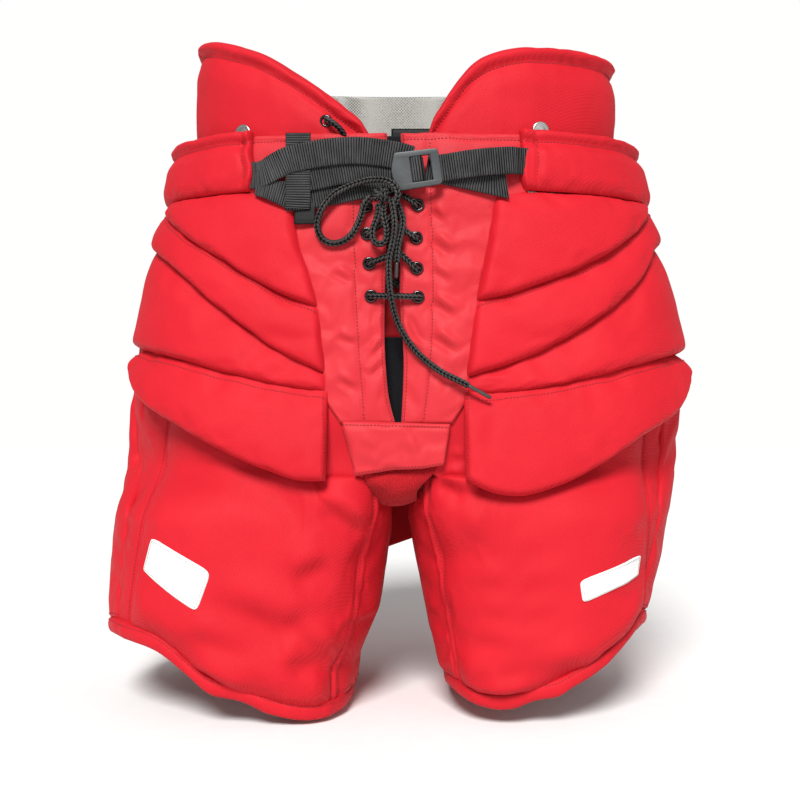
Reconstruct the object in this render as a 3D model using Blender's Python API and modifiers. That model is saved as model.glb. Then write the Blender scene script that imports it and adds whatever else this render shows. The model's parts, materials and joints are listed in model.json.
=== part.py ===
"""Goalie hockey pants, standing upright on their leg hems, front towards -Y.

Metres, +Z up. The origin is on the floor, under the middle of the pants.
A hip shell and two leg shells are formulas; each panel is a sheet mapped onto one of them.
"""

import math

import bmesh
import bpy
import numpy as np
from mathutils import Vector

SIDES = {"left": -1, "right": 1}  # the side of the picture plane, so "left" is at -X

# ---------------------------------------------------------------- driving dimensions
GAP = 0.003  # between neighbouring panels
HOOP_POWER = 2.5  # squareness of the waist and hips seen from above
LEG_POWER = 2.6

# Hip shell: half widths and depths of its outer surface at these heights
HIP_HEIGHTS = (0.235, 0.30, 0.35, 0.40, 0.46, 0.50, 0.57)
HIP_HALF_WIDTH = {
    "left": (0.276, 0.279, 0.277, 0.270, 0.262, 0.249, 0.237),
    "right": (0.288, 0.2955, 0.2965, 0.289, 0.273, 0.265, 0.247),
}
HIP_DEPTH = (0.160, 0.160, 0.158, 0.155, 0.151, 0.148, 0.137)

# Kidney girdle, the raised ring inside the belt
GIRDLE_HALF_WIDTH = {"left": 0.215, "right": 0.225}
GIRDLE_DEPTH = 0.125
GIRDLE_THICKNESS = 0.010
WING_FOOT = 0.574  # lower edge of the folding wings, just over the belt
WING_END = 0.45  # place round the hoop where the wings end
KIDNEY_START = 0.47
KIDNEY_END = 0.78
SPINE_START = 0.80
SPINE_TOP = 0.662
INNER_BAND_LOW = 0.508
INNER_BAND_HIGH = 0.560
INNER_BAND_INSET = 0.004
LINER_INSET = 0.0135
LINER_START = 0.56
LINER_LOW = 0.42

# Belt
BELT_LOW = 0.505
BELT_HIGH = 0.567
BELT_THICKNESS = 0.009
BELT_START = {"left": 0.206, "right": 0.168}

# Pads
PAD_THICKNESS = 0.015
FLAP_THICKNESS = 0.011
FLAP_FLARE = 0.012  # how far the flap's lower edge stands out from the shell
FLAP_END = {"left": 0.43, "right": 0.435}
HIP_PAD_END = 0.62
SEAT_START = 0.64
SEAT_END = 0.84
TAIL_START = 0.86
SEAT_LOW = 0.305
TAIL_LOW = 0.270
SEAT_STAND = 0.0134  # the seat stands out behind by this much

# Seams of the hip pads, as (place round the hoop, height)
UPPER_SEAM = {
    "left": ((0.08, 0.387), (0.144, 0.402), (0.26, 0.444), (0.34, 0.472), (0.45, 0.503)),
    "right": ((0.07, 0.395), (0.152, 0.410), (0.274, 0.444), (0.336, 0.466), (0.43, 0.503)),
}
MIDDLE_SEAM = {
    "left": ((0.08, 0.326), (0.14, 0.346), (0.252, 0.396), (0.324, 0.430), (0.40, 0.453), (0.5, 0.468)),
    "right": ((0.07, 0.325), (0.145, 0.344), (0.257, 0.386), (0.313, 0.413), (0.397, 0.454), (0.5, 0.468)),
}
FLAP_SEAM = {
    "left": ((0.08, 0.314), (0.139, 0.319), (0.244, 0.335), (0.306, 0.345), (0.404, 0.356), (0.6, 0.358)),
    "right": ((0.07, 0.314), (0.121, 0.314), (0.25, 0.330), (0.311, 0.340), (0.444, 0.354), (0.6, 0.358)),
}
FLAP_HEM = {
    "left": ((0.08, 0.233), (0.126, 0.233), (0.166, 0.242), (0.284, 0.281), (0.396, 0.323), (0.43, 0.343)),
    "right": ((0.07, 0.238), (0.101, 0.224), (0.138, 0.218), (0.19, 0.227), (0.306, 0.273), (0.369, 0.296),
              (0.435, 0.335)),
}
# Inner edge of the pads, as (height, place round the hoop)
PAD_EDGE = {
    "left": ((0.23, 0.090), (0.329, 0.093), (0.397, 0.108), (0.471, 0.143), (0.505, 0.150)),
    "right": ((0.23, 0.077), (0.326, 0.077), (0.398, 0.092), (0.499, 0.126), (0.505, 0.127)),
}
PAD_A_END = {"left": 0.43, "right": 0.41}

# Kidney wing tops, as (place round the hoop, height)
WING_TOP = {
    "left": ((0.055, 0.582), (0.097, 0.589), (0.136, 0.606), (0.186, 0.625), (0.237, 0.642), (0.293, 0.655),
             (0.355, 0.666), (0.45, 0.677)),
    "right": ((0.05, 0.582), (0.071, 0.595), (0.126, 0.633), (0.154, 0.641), (0.192, 0.647), (0.241, 0.650),
              (0.45, 0.656)),
}

# Fly, crotch and gusset
FLY_INSET = 0.006
FLY_THICKNESS = 0.008
TONGUE_HALF = 0.0145
TONGUE_BEHIND_FLY = 0.016
FLY_LOW = 0.285
FLY_TOP = 0.562
FLY_WING_LOW = 0.508  # above this the fly widens to meet the belt ends
SLIT = ((0.285, -0.0035, 0.0005), (0.300, -0.0075, 0.0010), (0.345, -0.0128, 0.0024), (0.400, -0.0132, -0.0012),
        (0.460, -0.0110, -0.0010), (0.562, -0.0100, -0.0010))  # (height, left edge, right edge)
CROTCH_LOW = 0.243
CROTCH_EDGES = ((0.243, -0.042, 0.040), (0.283, -0.0535, 0.0465))
GUSSET_THICKNESS = 0.005
GUSSET_HALF = 0.036
GUSSET_PATH = ((-0.151, 0.239), (-0.148, 0.218), (-0.125, 0.204), (0.0, 0.199), (0.125, 0.204), (0.150, 0.222),
               (0.158, 0.262))  # (depth, height)

# Legs: outer and inner side of each leg's shell at these heights
LEG_HEIGHTS = (0.0, 0.05, 0.10, 0.20, 0.25, 0.30, 0.35)
LEG_OUTER = {
    "left": (0.302, 0.302, 0.297, 0.283, 0.274, 0.262, 0.257),
    "right": (0.255, 0.258, 0.265, 0.283, 0.284, 0.279, 0.274),
}
LEG_INNER = {
    "left": (0.048, 0.046, 0.025, 0.010, 0.009, 0.009, 0.009),
    "right": (0.052, 0.040, 0.031, 0.011, 0.010, 0.010, 0.010),
}
LEG_DEPTH = 0.147
LEG_PAD_THICKNESS = 0.013
PLATE_THICKNESS = 0.0025
PLATE_INSET = 0.024
UNDER_FLAP_FROM = 0.19  # the thigh leans back from here up, under the flap
UNDER_FLAP_FULL = 0.25
UNDER_FLAP_INSET = 0.026
THIGH_ARC = (-0.15, 0.166)  # turns round the leg, from the front centre outwards
SIDE_ARC = (0.179, 0.33)
BACK_ARC = (0.333, 0.847)
THIGH_TOP = 0.305
CROTCH_CLEAR_TOP = 0.222
LEG_SIDE_TOP = 0.345
LEG_SIDE_REAR_TOP = 0.308
LEG_BACK_TOP = 0.262
LEG_FORK_TOP = 0.188
HEM_HEIGHT = 0.016
HEM_THICKNESS = 0.011
HEM_RISE = {"left": 0.062, "right": 0.062}
HEM_BACK_DROP = 0.25  # share of the rise that the back of the hem lacks
HEM_FRONT_LIFT = {"left": 0.0, "right": 0.012}

# Straps and buckle
WEBBING_WIDTH = 0.0254
WEBBING_THICKNESS = 0.0018
STRAP_PATHS = {  # centre lines
    "strap_long": ((-0.1290, -0.1425, 0.5180), (-0.1156, -0.1490, 0.5265), (-0.0997, -0.1515, 0.5316),
                   (-0.0690, -0.1525, 0.5372), (-0.0382, -0.1525, 0.5390), (-0.0100, -0.1525, 0.5375)),
    "strap_lower": ((-0.1290, -0.1400, 0.5040), (-0.1072, -0.1456, 0.4975), (-0.0839, -0.1456, 0.4985),
                    (-0.0466, -0.1464, 0.5055), (-0.0100, -0.1465, 0.5135)),
    "strap_right": ((0.0450, -0.1465, 0.5240), (0.0699, -0.1465, 0.5272), (0.1060, -0.1448, 0.5305)),
    "strap_tail": ((0.0450, -0.1500, 0.5205), (0.0700, -0.1510, 0.5150), (0.0990, -0.1500, 0.5080)),
}
KEEPER_X = -0.0950
KEEPER_WIDTH = 0.024
KEEPER_PATH = ((-0.1483, 0.552), (-0.1483, 0.500), (-0.1478, 0.474))  # (depth, height)
BUCKLE_CENTRE = Vector((0.0165, -0.1564, 0.5209))
BUCKLE_SIZE = (0.044, 0.0050, 0.036)
BUCKLE_WINDOW = (0.0205, 0.0250)
BUCKLE_WINDOW_SHIFT = 0.0035
BUCKLE_BAR_RADIUS = 0.0016
BUCKLE_TILT = math.radians(-8)

# Eyelets and laces
EYELETS = {
    "left": (0.4039, 0.4347, 0.4627, 0.4885),
    "right": (0.4030, 0.4301, 0.4589, 0.4897),
}
EYELET_X = {"left": (-0.0270, -0.0289, -0.0308, -0.0315), "right": (0.0168, 0.0158, 0.0152, 0.0168)}
EYELET_HOLE = 0.0046
WING_EYELET = (0.128, 0.5815)  # place round the hoop, height
LACE_RADIUS = 0.0027
LACE_HELD_RADIUS = 0.0019
LACE_AHEAD = 0.0052  # in front of the fly
LACE_BEHIND = 0.0055  # behind it
LACE_OFF_CENTRE = 0.0016
KNOT_CENTRE = Vector((-0.0165, -0.1545, 0.4975))
KNOT_RADII = Vector((0.0062, 0.0050, 0.0048))
LACE_ROUTES = {
    "lace_loop_large": (
        (-0.0190, -0.1560, 0.5068), (-0.0319, -0.1545, 0.5085), (-0.0461, -0.1530, 0.5062),
        (-0.0606, -0.1525, 0.4990), (-0.0704, -0.1522, 0.4885), (-0.0761, -0.1510, 0.4763),
        (-0.0768, -0.1495, 0.4664), (-0.0718, -0.1485, 0.4570), (-0.0618, -0.1480, 0.4533),
        (-0.0503, -0.1485, 0.4570), (-0.0419, -0.1495, 0.4664), (-0.0363, -0.1510, 0.4794),
        (-0.0333, -0.1545, 0.4890), (-0.0272, -0.1555, 0.4965)),
    "lace_loop_small": (
        (-0.0212, -0.1550, 0.4895), (-0.0200, -0.1555, 0.4830), (-0.0222, -0.1560, 0.4740),
        (-0.0254, -0.1560, 0.4650), (-0.0247, -0.1560, 0.4556), (-0.0185, -0.1560, 0.4515),
        (-0.0130, -0.1560, 0.4560), (-0.0125, -0.1560, 0.4660), (-0.0148, -0.1560, 0.4760),
        (-0.0150, -0.1550, 0.4830), (-0.0145, -0.1545, 0.4888)),
    "lace_tail_long": (
        (-0.0086, -0.1610, 0.4925), (-0.0065, -0.1615, 0.4830), (-0.0050, -0.1615, 0.4692),
        (-0.0066, -0.1615, 0.4540), (-0.0100, -0.1615, 0.4384), (-0.0104, -0.1610, 0.4263),
        (-0.0097, -0.1610, 0.4123), (-0.0075, -0.1605, 0.3979), (-0.0040, -0.1590, 0.3836),
        (0.0024, -0.1580, 0.3694), (0.0124, -0.1578, 0.3550), (0.0252, -0.1585, 0.3424),
        (0.0395, -0.1600, 0.3322), (0.0538, -0.1630, 0.3251), (0.0638, -0.1650, 0.3200)),
    "lace_tail_short": (
        (-0.0060, -0.1545, 0.4960), (-0.0005, -0.1550, 0.4850), (0.0026, -0.1555, 0.4735),
        (0.0012, -0.1565, 0.4626), (-0.0010, -0.1575, 0.4533), (-0.0024, -0.1580, 0.4440),
        (-0.0030, -0.1580, 0.4340)),
}
AGLET_LONG = (Vector((0.0642, -0.1651, 0.3198)), Vector((0.0838, -0.1655, 0.3087)))
AGLET_RADIUS = 0.0018
WING_LACE = ((-0.0712, -0.1300, 0.5815), (-0.0660, -0.1330, 0.5775), (-0.0590, -0.1335, 0.5715),
             (-0.0530, -0.1335, 0.5665))

# Suspender buttons
BUTTON_PLACE = {"left": 0.27, "right": 0.225}
BUTTON_HEIGHT = 0.5655
BUTTON_RADIUS = 0.0085
BUTTON_THICKNESS = 0.0020
BUTTON_OUT = 0.0020  # centre of the disc from the girdle's outer surface

# ---------------------------------------------------------------- colours
RED = (0.87, 0.035, 0.055)
RED_BRIGHT = (0.90, 0.055, 0.075)
RED_KNIT = (0.80, 0.018, 0.030)
GREY_MESH = (0.33, 0.33, 0.30)
BLACK_FABRIC = (0.012, 0.011, 0.012)
WEBBING_GREY = (0.040, 0.040, 0.042)
LACE_BLACK = (0.030, 0.024, 0.024)
BUCKLE_GREY = (0.115, 0.120, 0.120)
EYELET_BLACK = (0.010, 0.008, 0.010)
SILVER = (0.70, 0.69, 0.67)
POLYETHYLENE = (0.62, 0.63, 0.62)


# ---------------------------------------------------------------- scene helpers
def clear_scene():
    for scene_object in list(bpy.data.objects):
        bpy.data.objects.remove(scene_object)


def new_collection(name):
    collection = bpy.data.collections.new(name)
    bpy.context.scene.collection.children.link(collection)
    return collection


clear_scene()
PARTS = new_collection("hockey_pants")
CUTTERS = new_collection("cutters")


def material(name, colour, roughness=0.8, metallic=0.0):
    made = bpy.data.materials.get(name) or bpy.data.materials.new(name)
    made.use_nodes = True
    shader = made.node_tree.nodes["Principled BSDF"]
    shader.inputs["Base Color"].default_value = (*colour, 1.0)
    shader.inputs["Roughness"].default_value = roughness
    shader.inputs["Metallic"].default_value = metallic
    return made


def place(name, data, made_of, collection=PARTS):
    made = bpy.data.objects.new(name, data)
    collection.objects.link(made)
    if made_of is not None:
        made.data.materials.append(made_of)
    return made


def solidify(piece, thickness):
    modifier = piece.modifiers.new("Thickness", "SOLIDIFY")
    modifier.thickness = thickness
    modifier.offset = -1.0
    return modifier


def sheet(name, surface, cells, thickness, made_of, flip=False):
    """A panel: a grid mapped by surface(a, b), a and b from 0 to 1, thickened inwards."""
    bm = bmesh.new()
    bmesh.ops.create_grid(bm, x_segments=cells[0], y_segments=cells[1], size=0.5)
    for vertex in bm.verts:
        vertex.co = surface(vertex.co.x + 0.5, vertex.co.y + 0.5)
    if flip:
        bmesh.ops.reverse_faces(bm, faces=bm.faces)
    mesh = bpy.data.meshes.new(name)
    bm.to_mesh(mesh)
    bm.free()
    piece = place(name, mesh, made_of)
    solidify(piece, thickness)
    return piece


def along(points, value):
    """Height of a seam, or any second value, at the given first value."""
    return float(np.interp(value, [p[0] for p in points], [p[1] for p in points]))


def smooth_step(value, low, high):
    share = min(1.0, max(0.0, (value - low) / (high - low)))
    return share * share * (3 - 2 * share)


# ---------------------------------------------------------------- shells
def hoop_tables(samples=721, width=0.27, depth=0.155):
    """Unit superellipse from the front centre round one side to the back, by share of its length."""
    angle = np.linspace(0, math.pi, samples)
    across = np.abs(np.sin(angle)) ** (2 / HOOP_POWER)
    back = -np.sign(np.cos(angle)) * np.abs(np.cos(angle)) ** (2 / HOOP_POWER)
    steps = np.hypot(np.diff(across) * width, np.diff(back) * depth)
    share = np.concatenate([[0], np.cumsum(steps)])
    return share / share[-1], across, back


HOOP_SHARE, HOOP_ACROSS, HOOP_BACK = hoop_tables()


def hoop_point(side, u, z, half_width, depth):
    """A point on a hoop; u is 0 at the front centre, about 0.5 at the side, 1 at the back."""
    across = float(np.interp(u, HOOP_SHARE, HOOP_ACROSS))
    back = float(np.interp(u, HOOP_SHARE, HOOP_BACK))
    return Vector((SIDES[side] * half_width * across, depth * back, z))


def hip_point(side, u, z, out=0.0):
    half_width = float(np.interp(z, HIP_HEIGHTS, HIP_HALF_WIDTH[side])) + out
    depth = float(np.interp(z, HIP_HEIGHTS, HIP_DEPTH)) + out
    return hoop_point(side, u, z, half_width, depth)


def girdle_point(side, u, z, out=0.0):
    return hoop_point(side, u, z, GIRDLE_HALF_WIDTH[side] + out, GIRDLE_DEPTH + out)


def front_point(x, z, out=0.0):
    """The point of the hip shell's front at this x and height."""
    side = "left" if x < 0 else "right"
    half_width = float(np.interp(z, HIP_HEIGHTS, HIP_HALF_WIDTH[side])) + out
    depth = float(np.interp(z, HIP_HEIGHTS, HIP_DEPTH)) + out
    return Vector((x, -depth * (1 - (abs(x) / half_width) ** HOOP_POWER) ** (1 / HOOP_POWER), z))


def across_back(start):
    """Maps 0..1 to (side, u) from the left side's start, round the back, to the right side's."""
    def spot(a):
        if a < 0.5:
            return "left", start + (1 - start) * 2 * a
        return "right", start + (1 - start) * 2 * (1 - a)
    return spot


def leg_point(side, turn, z, out=0.0):
    """A point on a leg's shell; turn is 0 at its front, 0.25 at its outer side, 0.5 at its back."""
    outer = float(np.interp(z, LEG_HEIGHTS, LEG_OUTER[side]))
    inner = float(np.interp(z, LEG_HEIGHTS, LEG_INNER[side]))
    half_width = (outer - inner) / 2 + out
    depth = LEG_DEPTH + out
    angle = turn * 2 * math.pi
    across = math.copysign(abs(math.sin(angle)) ** (2 / LEG_POWER), math.sin(angle))
    front = math.copysign(abs(math.cos(angle)) ** (2 / LEG_POWER), math.cos(angle))
    x = (outer + inner) / 2 + half_width * across
    y = -depth * front
    tucked = smooth_step(z, UNDER_FLAP_FROM, UNDER_FLAP_FULL)
    if y < 0 and tucked > 0:
        reach = min(x / float(np.interp(z, HIP_HEIGHTS, HIP_HALF_WIDTH[side])), 1.0)
        shell = -float(np.interp(z, HIP_HEIGHTS, HIP_DEPTH)) * (1 - reach ** HOOP_POWER) ** (1 / HOOP_POWER)
        limit = min(shell + UNDER_FLAP_INSET - out, 0.0)
        y = max(y, y + (limit - y) * tucked)
    return Vector((SIDES[side] * x, y, z))


def hem_height(side, turn):
    """Height of the hem's lower edge: flat on the floor inside and behind, rising to the outside."""
    spot = leg_point(side, turn, 0.05)
    rise = HEM_RISE[side] * smooth_step(abs(spot.x), 0.085, 0.225)
    rise *= 1 - HEM_BACK_DROP * smooth_step(spot.y, -0.03, 0.09)
    lift = HEM_FRONT_LIFT[side] * smooth_step(-spot.y, 0.02, 0.10)
    return max(rise, lift)


# ---------------------------------------------------------------- panels on the shells
def hip_panel(name, side, start, end, low, high, made_of, thickness=PAD_THICKNESS, out=None, cells=(16, 5)):
    """start and end take a height, low and high take a place round the hoop."""
    def surface(a, b):
        middle = (low(0.3) + high(0.3)) / 2
        u = start(middle) + (end - start(middle)) * a
        z = low(u) + (high(u) - low(u)) * b
        u = start(z) + (end - start(z)) * a
        z = low(u) + (high(u) - low(u)) * b
        return hip_point(side, u, z, out(a, b) if out else 0.0)
    return sheet(name, surface, cells, thickness, made_of, flip=side == "left")


def hip_pads(side, red):
    def edge(z):
        return along(PAD_EDGE[side], z)

    def upper(u):
        return along(UPPER_SEAM[side], u)

    def middle(u):
        return along(MIDDLE_SEAM[side], u)

    def lower(u):
        return along(FLAP_SEAM[side], u)

    half = GAP / 2
    top = BELT_LOW - GAP
    hip_panel(f"hip_pad_upper_{side}", side, edge, PAD_A_END[side],
              lambda u: min(upper(u) + half, top - 0.004), lambda u: top, red)
    hip_panel(f"hip_pad_middle_{side}", side, edge, HIP_PAD_END,
              lambda u: middle(u) + half, lambda u: min(upper(u) - half, top), red)
    hip_panel(f"hip_pad_lower_{side}", side, edge, HIP_PAD_END,
              lambda u: lower(u) + half, lambda u: middle(u) - half, red)

    def flare(a, b):
        return FLAP_FLARE * (1 - b)

    hip_panel(f"hip_flap_{side}", side, edge, FLAP_END[side],
              lambda u: along(FLAP_HEM[side], u), lambda u: lower(u) - half, red,
              thickness=FLAP_THICKNESS, out=flare, cells=(16, 6))


def seat(side, red):
    hip_panel(f"seat_pad_{side}", side, lambda z: SEAT_START, SEAT_END,
              lambda u: SEAT_LOW, lambda u: BELT_LOW - GAP, red,
              out=lambda a, b: SEAT_STAND * math.sin(math.pi * b) ** 0.5, cells=(8, 8))


def tailbone(red):
    spot = across_back(TAIL_START)

    def surface(a, b):
        side, u = spot(a)
        z = TAIL_LOW + (BELT_LOW - GAP - TAIL_LOW) * b
        return hip_point(side, u, z, SEAT_STAND * math.sin(math.pi * b) ** 0.5)
    sheet("tailbone_pad", surface, (10, 8), PAD_THICKNESS, red, flip=True)


def belt(side, red):
    start = BELT_START[side]

    def surface(a, b):
        u = start + (0.997 - start) * a
        return hip_point(side, u, BELT_LOW + (BELT_HIGH - BELT_LOW) * b)
    sheet(f"waistband_{side}", surface, (24, 3), BELT_THICKNESS, red, flip=side == "left")


def girdle(red, mesh):
    for side in SIDES:
        def wing(a, b, side=side):
            start = WING_TOP[side][0][0]
            u = start + (WING_END - start) * a
            return girdle_point(side, u, WING_FOOT + (along(WING_TOP[side], u) - WING_FOOT) * b)

        def kidney(a, b, side=side):
            u = KIDNEY_START + (KIDNEY_END - KIDNEY_START) * a
            top = WING_TOP[side][-1][1] + (SPINE_TOP - WING_TOP[side][-1][1]) * a
            return girdle_point(side, u, WING_FOOT + (top - WING_FOOT) * b)
        flip = side == "left"
        sheet(f"kidney_wing_{side}", wing, (16, 4), GIRDLE_THICKNESS, red, flip)
        sheet(f"kidney_pad_{side}", kidney, (10, 4), GIRDLE_THICKNESS, red, flip)
    around, spine = across_back(0.06), across_back(SPINE_START)
    lined = across_back(LINER_START)
    sheet("inner_waistband",
          lambda a, b: girdle_point(*around(a), INNER_BAND_LOW + (INNER_BAND_HIGH - INNER_BAND_LOW) * b, -INNER_BAND_INSET),
          (40, 2), GIRDLE_THICKNESS - 0.003, red, flip=True)
    sheet("spine_pad",
          lambda a, b: girdle_point(*spine(a), WING_FOOT + (SPINE_TOP - WING_FOOT) * b),
          (10, 4), GIRDLE_THICKNESS, red, flip=True)
    sheet("back_liner",
          lambda a, b: girdle_point(*lined(a), LINER_LOW + (SPINE_TOP - 0.004 - LINER_LOW) * b, -LINER_INSET),
          (16, 6), 0.003, mesh, flip=True)


# ---------------------------------------------------------------- fly, crotch, gusset
def slit_edge(side, z):
    column = 1 if side == "left" else 2
    return float(np.interp(z, [row[0] for row in SLIT], [row[column] for row in SLIT]))


def fly_outer(side, z):
    """Outer edge of the fly panel: against the hip pads, and wider above them to the belt's end."""
    if z > FLY_WING_LOW:
        return hip_point(side, BELT_START[side] - 0.008, z, -FLY_INSET).x
    return hip_point(side, along(PAD_EDGE[side], z) - 0.004, z, -FLY_INSET).x


def fly_panel(side, red):
    """Two stacked grids share the row at the belt's lower edge, so the outline steps out there."""
    levels = [FLY_LOW + (FLY_WING_LOW - FLY_LOW) * i / 12 for i in range(13)]
    levels += [FLY_WING_LOW + 0.0004 + (FLY_TOP - FLY_WING_LOW) * i / 4 for i in range(5)]
    lowest = {"left": -0.0535, "right": 0.0465}[side]

    def surface(a, b):
        z = levels[round(b * (len(levels) - 1))]
        inner = slit_edge(side, z)
        outer = fly_outer(side, z)
        outer = lowest + (outer - lowest) * smooth_step(z, FLY_LOW - 0.01, FLY_LOW + 0.03)
        return front_point(inner + (outer - inner) * a, min(z, FLY_TOP), -FLY_INSET)
    return sheet(f"fly_panel_{side}", surface, (8, len(levels) - 1), FLY_THICKNESS, red, flip=side == "left")


def outward(side, x, z):
    """Outward normal of the fly's surface."""
    step = 0.004
    right = front_point(x + step, z, -FLY_INSET) - front_point(x - step, z, -FLY_INSET)
    up = front_point(x, z + step, -FLY_INSET) - front_point(x, z - step, -FLY_INSET)
    return right.cross(up).normalized()


def cut_hole(piece, centre, direction, radius):
    bpy.ops.mesh.primitive_cylinder_add(vertices=16, radius=radius, depth=0.05, location=centre)
    cutter = bpy.context.object
    cutter.rotation_euler = direction.to_track_quat("Z", "Y").to_euler()
    cutter.name = f"{piece.name}_cutter"
    cutter.hide_render = True
    cutter.display_type = "WIRE"
    for collection in list(cutter.users_collection):
        collection.objects.unlink(cutter)
    CUTTERS.objects.link(cutter)
    modifier = piece.modifiers.new("Hole", "BOOLEAN")
    modifier.operation = "DIFFERENCE"
    modifier.object = cutter
    modifier.solver = "EXACT"


def turned(name, profile, centre, direction, made_of, steps=20):
    """A ring or disc: a closed or axis-to-axis profile of (radius, height) turned about its axis."""
    mesh = bpy.data.meshes.new(name)
    closed = profile[0][0] > 0
    count = len(profile)
    edges = [(i, (i + 1) % count) for i in range(count if closed else count - 1)]
    mesh.from_pydata([(r, 0.0, h) for r, h in profile], edges, [])
    piece = place(name, mesh, made_of)
    screw = piece.modifiers.new("Turn", "SCREW")
    screw.steps = steps
    screw.render_steps = steps
    screw.use_merge_vertices = True
    screw.merge_threshold = 0.00005
    piece.location = centre
    piece.rotation_euler = direction.to_track_quat("Z", "Y").to_euler()
    return piece


EYELET_PROFILE = ((0.0042, 0.0004), (0.0042, -0.0060), (0.0036, -0.0060), (0.0036, 0.0010), (0.0044, 0.0021),
                  (0.0056, 0.0019), (0.0063, 0.0009), (0.0063, 0.0004))


def fly(red, black, gloss):
    for side in SIDES:
        panel = fly_panel(side, red)
        for number, (x, z) in enumerate(zip(EYELET_X[side], EYELETS[side]), 1):
            normal = outward(side, x, z)
            centre = front_point(x, z, -FLY_INSET) + normal * 0.0003
            cut_hole(panel, centre, normal, EYELET_HOLE)
            turned(f"eyelet_{side}_{number}", EYELET_PROFILE, centre, normal, gloss)
    tongue_half, tongue_inset = TONGUE_HALF, FLY_INSET + FLY_THICKNESS + TONGUE_BEHIND_FLY
    sheet("fly_tongue",
          lambda a, b: front_point(-0.006 + tongue_half * (2 * a - 1), 0.255 + 0.25 * b, -tongue_inset),
          (4, 10), 0.004, black)


def crotch(red, knit):
    def surface(a, b):
        z = CROTCH_LOW + (FLY_LOW - GAP - CROTCH_LOW) * b
        low_x = float(np.interp(z, [r[0] for r in CROTCH_EDGES], [r[1] for r in CROTCH_EDGES]))
        high_x = float(np.interp(z, [r[0] for r in CROTCH_EDGES], [r[2] for r in CROTCH_EDGES]))
        return front_point(low_x + (high_x - low_x) * a, z, -FLY_INSET)
    sheet("crotch_panel", surface, (8, 4), FLY_THICKNESS, red)
    count = len(GUSSET_PATH) - 1

    def channel(a, b):
        spot = b * count
        y = float(np.interp(spot, range(count + 1), [p[0] for p in GUSSET_PATH]))
        z = float(np.interp(spot, range(count + 1), [p[1] for p in GUSSET_PATH]))
        half = GUSSET_HALF * (1 - 0.45 * math.sin(math.pi * b) ** 0.6)
        return Vector((-0.001 + half * (2 * a - 1), y, z))
    sheet("crotch_gusset", channel, (6, count * 3), GUSSET_THICKNESS, knit, flip=True)


# ---------------------------------------------------------------- legs
def leg_panel(name, side, arc, low, high, made_of, thickness, out=0.0, cells=(14, 8)):
    def surface(a, b):
        turn = arc[0] + (arc[1] - arc[0]) * a
        bottom, top = low(turn), high(turn)
        return leg_point(side, turn, bottom + (top - bottom) * b, out)
    return sheet(name, surface, cells, thickness, made_of, flip=side == "left")


def leg(side, red, plastic):
    def hem_top(turn):
        return hem_height(side, turn) + HEM_HEIGHT + GAP

    def thigh_top(turn):
        x = abs(leg_point(side, turn, 0.24).x)
        return CROTCH_CLEAR_TOP + (THIGH_TOP - CROTCH_CLEAR_TOP) * smooth_step(x, 0.068, 0.105)

    def back_top(turn):
        x = abs(leg_point(side, turn, 0.2).x)
        return LEG_FORK_TOP + (LEG_BACK_TOP - LEG_FORK_TOP) * smooth_step(x, 0.045, 0.12)

    def side_top(turn):
        return LEG_SIDE_TOP + (LEG_SIDE_REAR_TOP - LEG_SIDE_TOP) * smooth_step(turn, 0.270, 0.311)

    leg_panel(f"thigh_pad_{side}", side, THIGH_ARC, hem_top, thigh_top, red, LEG_PAD_THICKNESS, cells=(18, 9))
    leg_panel(f"thigh_plate_{side}", side, (THIGH_ARC[0] + 0.02, THIGH_ARC[1] - 0.01),
              lambda turn: hem_top(turn) + 0.01, lambda turn: thigh_top(turn) - 0.02, plastic,
              PLATE_THICKNESS, -PLATE_INSET, cells=(12, 5))
    leg_panel(f"leg_side_panel_{side}", side, SIDE_ARC, hem_top, side_top, red,
              LEG_PAD_THICKNESS - 0.002, cells=(8, 8))
    leg_panel(f"leg_back_panel_{side}", side, BACK_ARC, hem_top, back_top, red,
              LEG_PAD_THICKNESS - 0.005, cells=(26, 7))
    hem(side, red)


def hem(side, red):
    """The rolled hem: a closed ring under the leg, made as a band whose two ends are joined."""
    around = 56
    bm = bmesh.new()
    rings = []
    for inset in (0.0, HEM_THICKNESS):
        for rise in (0.0, HEM_HEIGHT):
            ring = []
            for i in range(around):
                turn = i / around
                z = hem_height(side, turn) + rise
                ring.append(bm.verts.new(leg_point(side, turn, z, 0.001 - inset)))
            rings.append(ring)
    outer_low, outer_high, inner_low, inner_high = rings
    for first, second in ((outer_low, outer_high), (outer_high, inner_high), (inner_high, inner_low),
                          (inner_low, outer_low)):
        for i in range(around):
            j = (i + 1) % around
            bm.faces.new((first[i], first[j], second[j], second[i]))
    bmesh.ops.recalc_face_normals(bm, faces=bm.faces)
    mesh = bpy.data.meshes.new(f"leg_hem_{side}")
    bm.to_mesh(mesh)
    bm.free()
    place(f"leg_hem_{side}", mesh, red)


# ---------------------------------------------------------------- straps, buckle, laces, buttons
def strap(name, path, made_of):
    count = len(path) - 1

    def surface(a, b):
        centre = [float(np.interp(a * count, range(count + 1), [p[k] for p in path])) for k in range(3)]
        return Vector((centre[0], centre[1], centre[2] + WEBBING_WIDTH * (b - 0.5)))
    sheet(name, surface, (count * 3, 1), WEBBING_THICKNESS, made_of)


def straps(webbing):
    for name, path in STRAP_PATHS.items():
        strap(name, path, webbing)
    count = len(KEEPER_PATH) - 1

    def keeper(a, b):
        y = float(np.interp((1 - b) * count, range(count + 1), [p[0] for p in KEEPER_PATH]))
        z = float(np.interp((1 - b) * count, range(count + 1), [p[1] for p in KEEPER_PATH]))
        return Vector((KEEPER_X + KEEPER_WIDTH * (a - 0.5), y, z))
    sheet("strap_keeper", keeper, (1, 6), WEBBING_THICKNESS, webbing)


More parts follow.
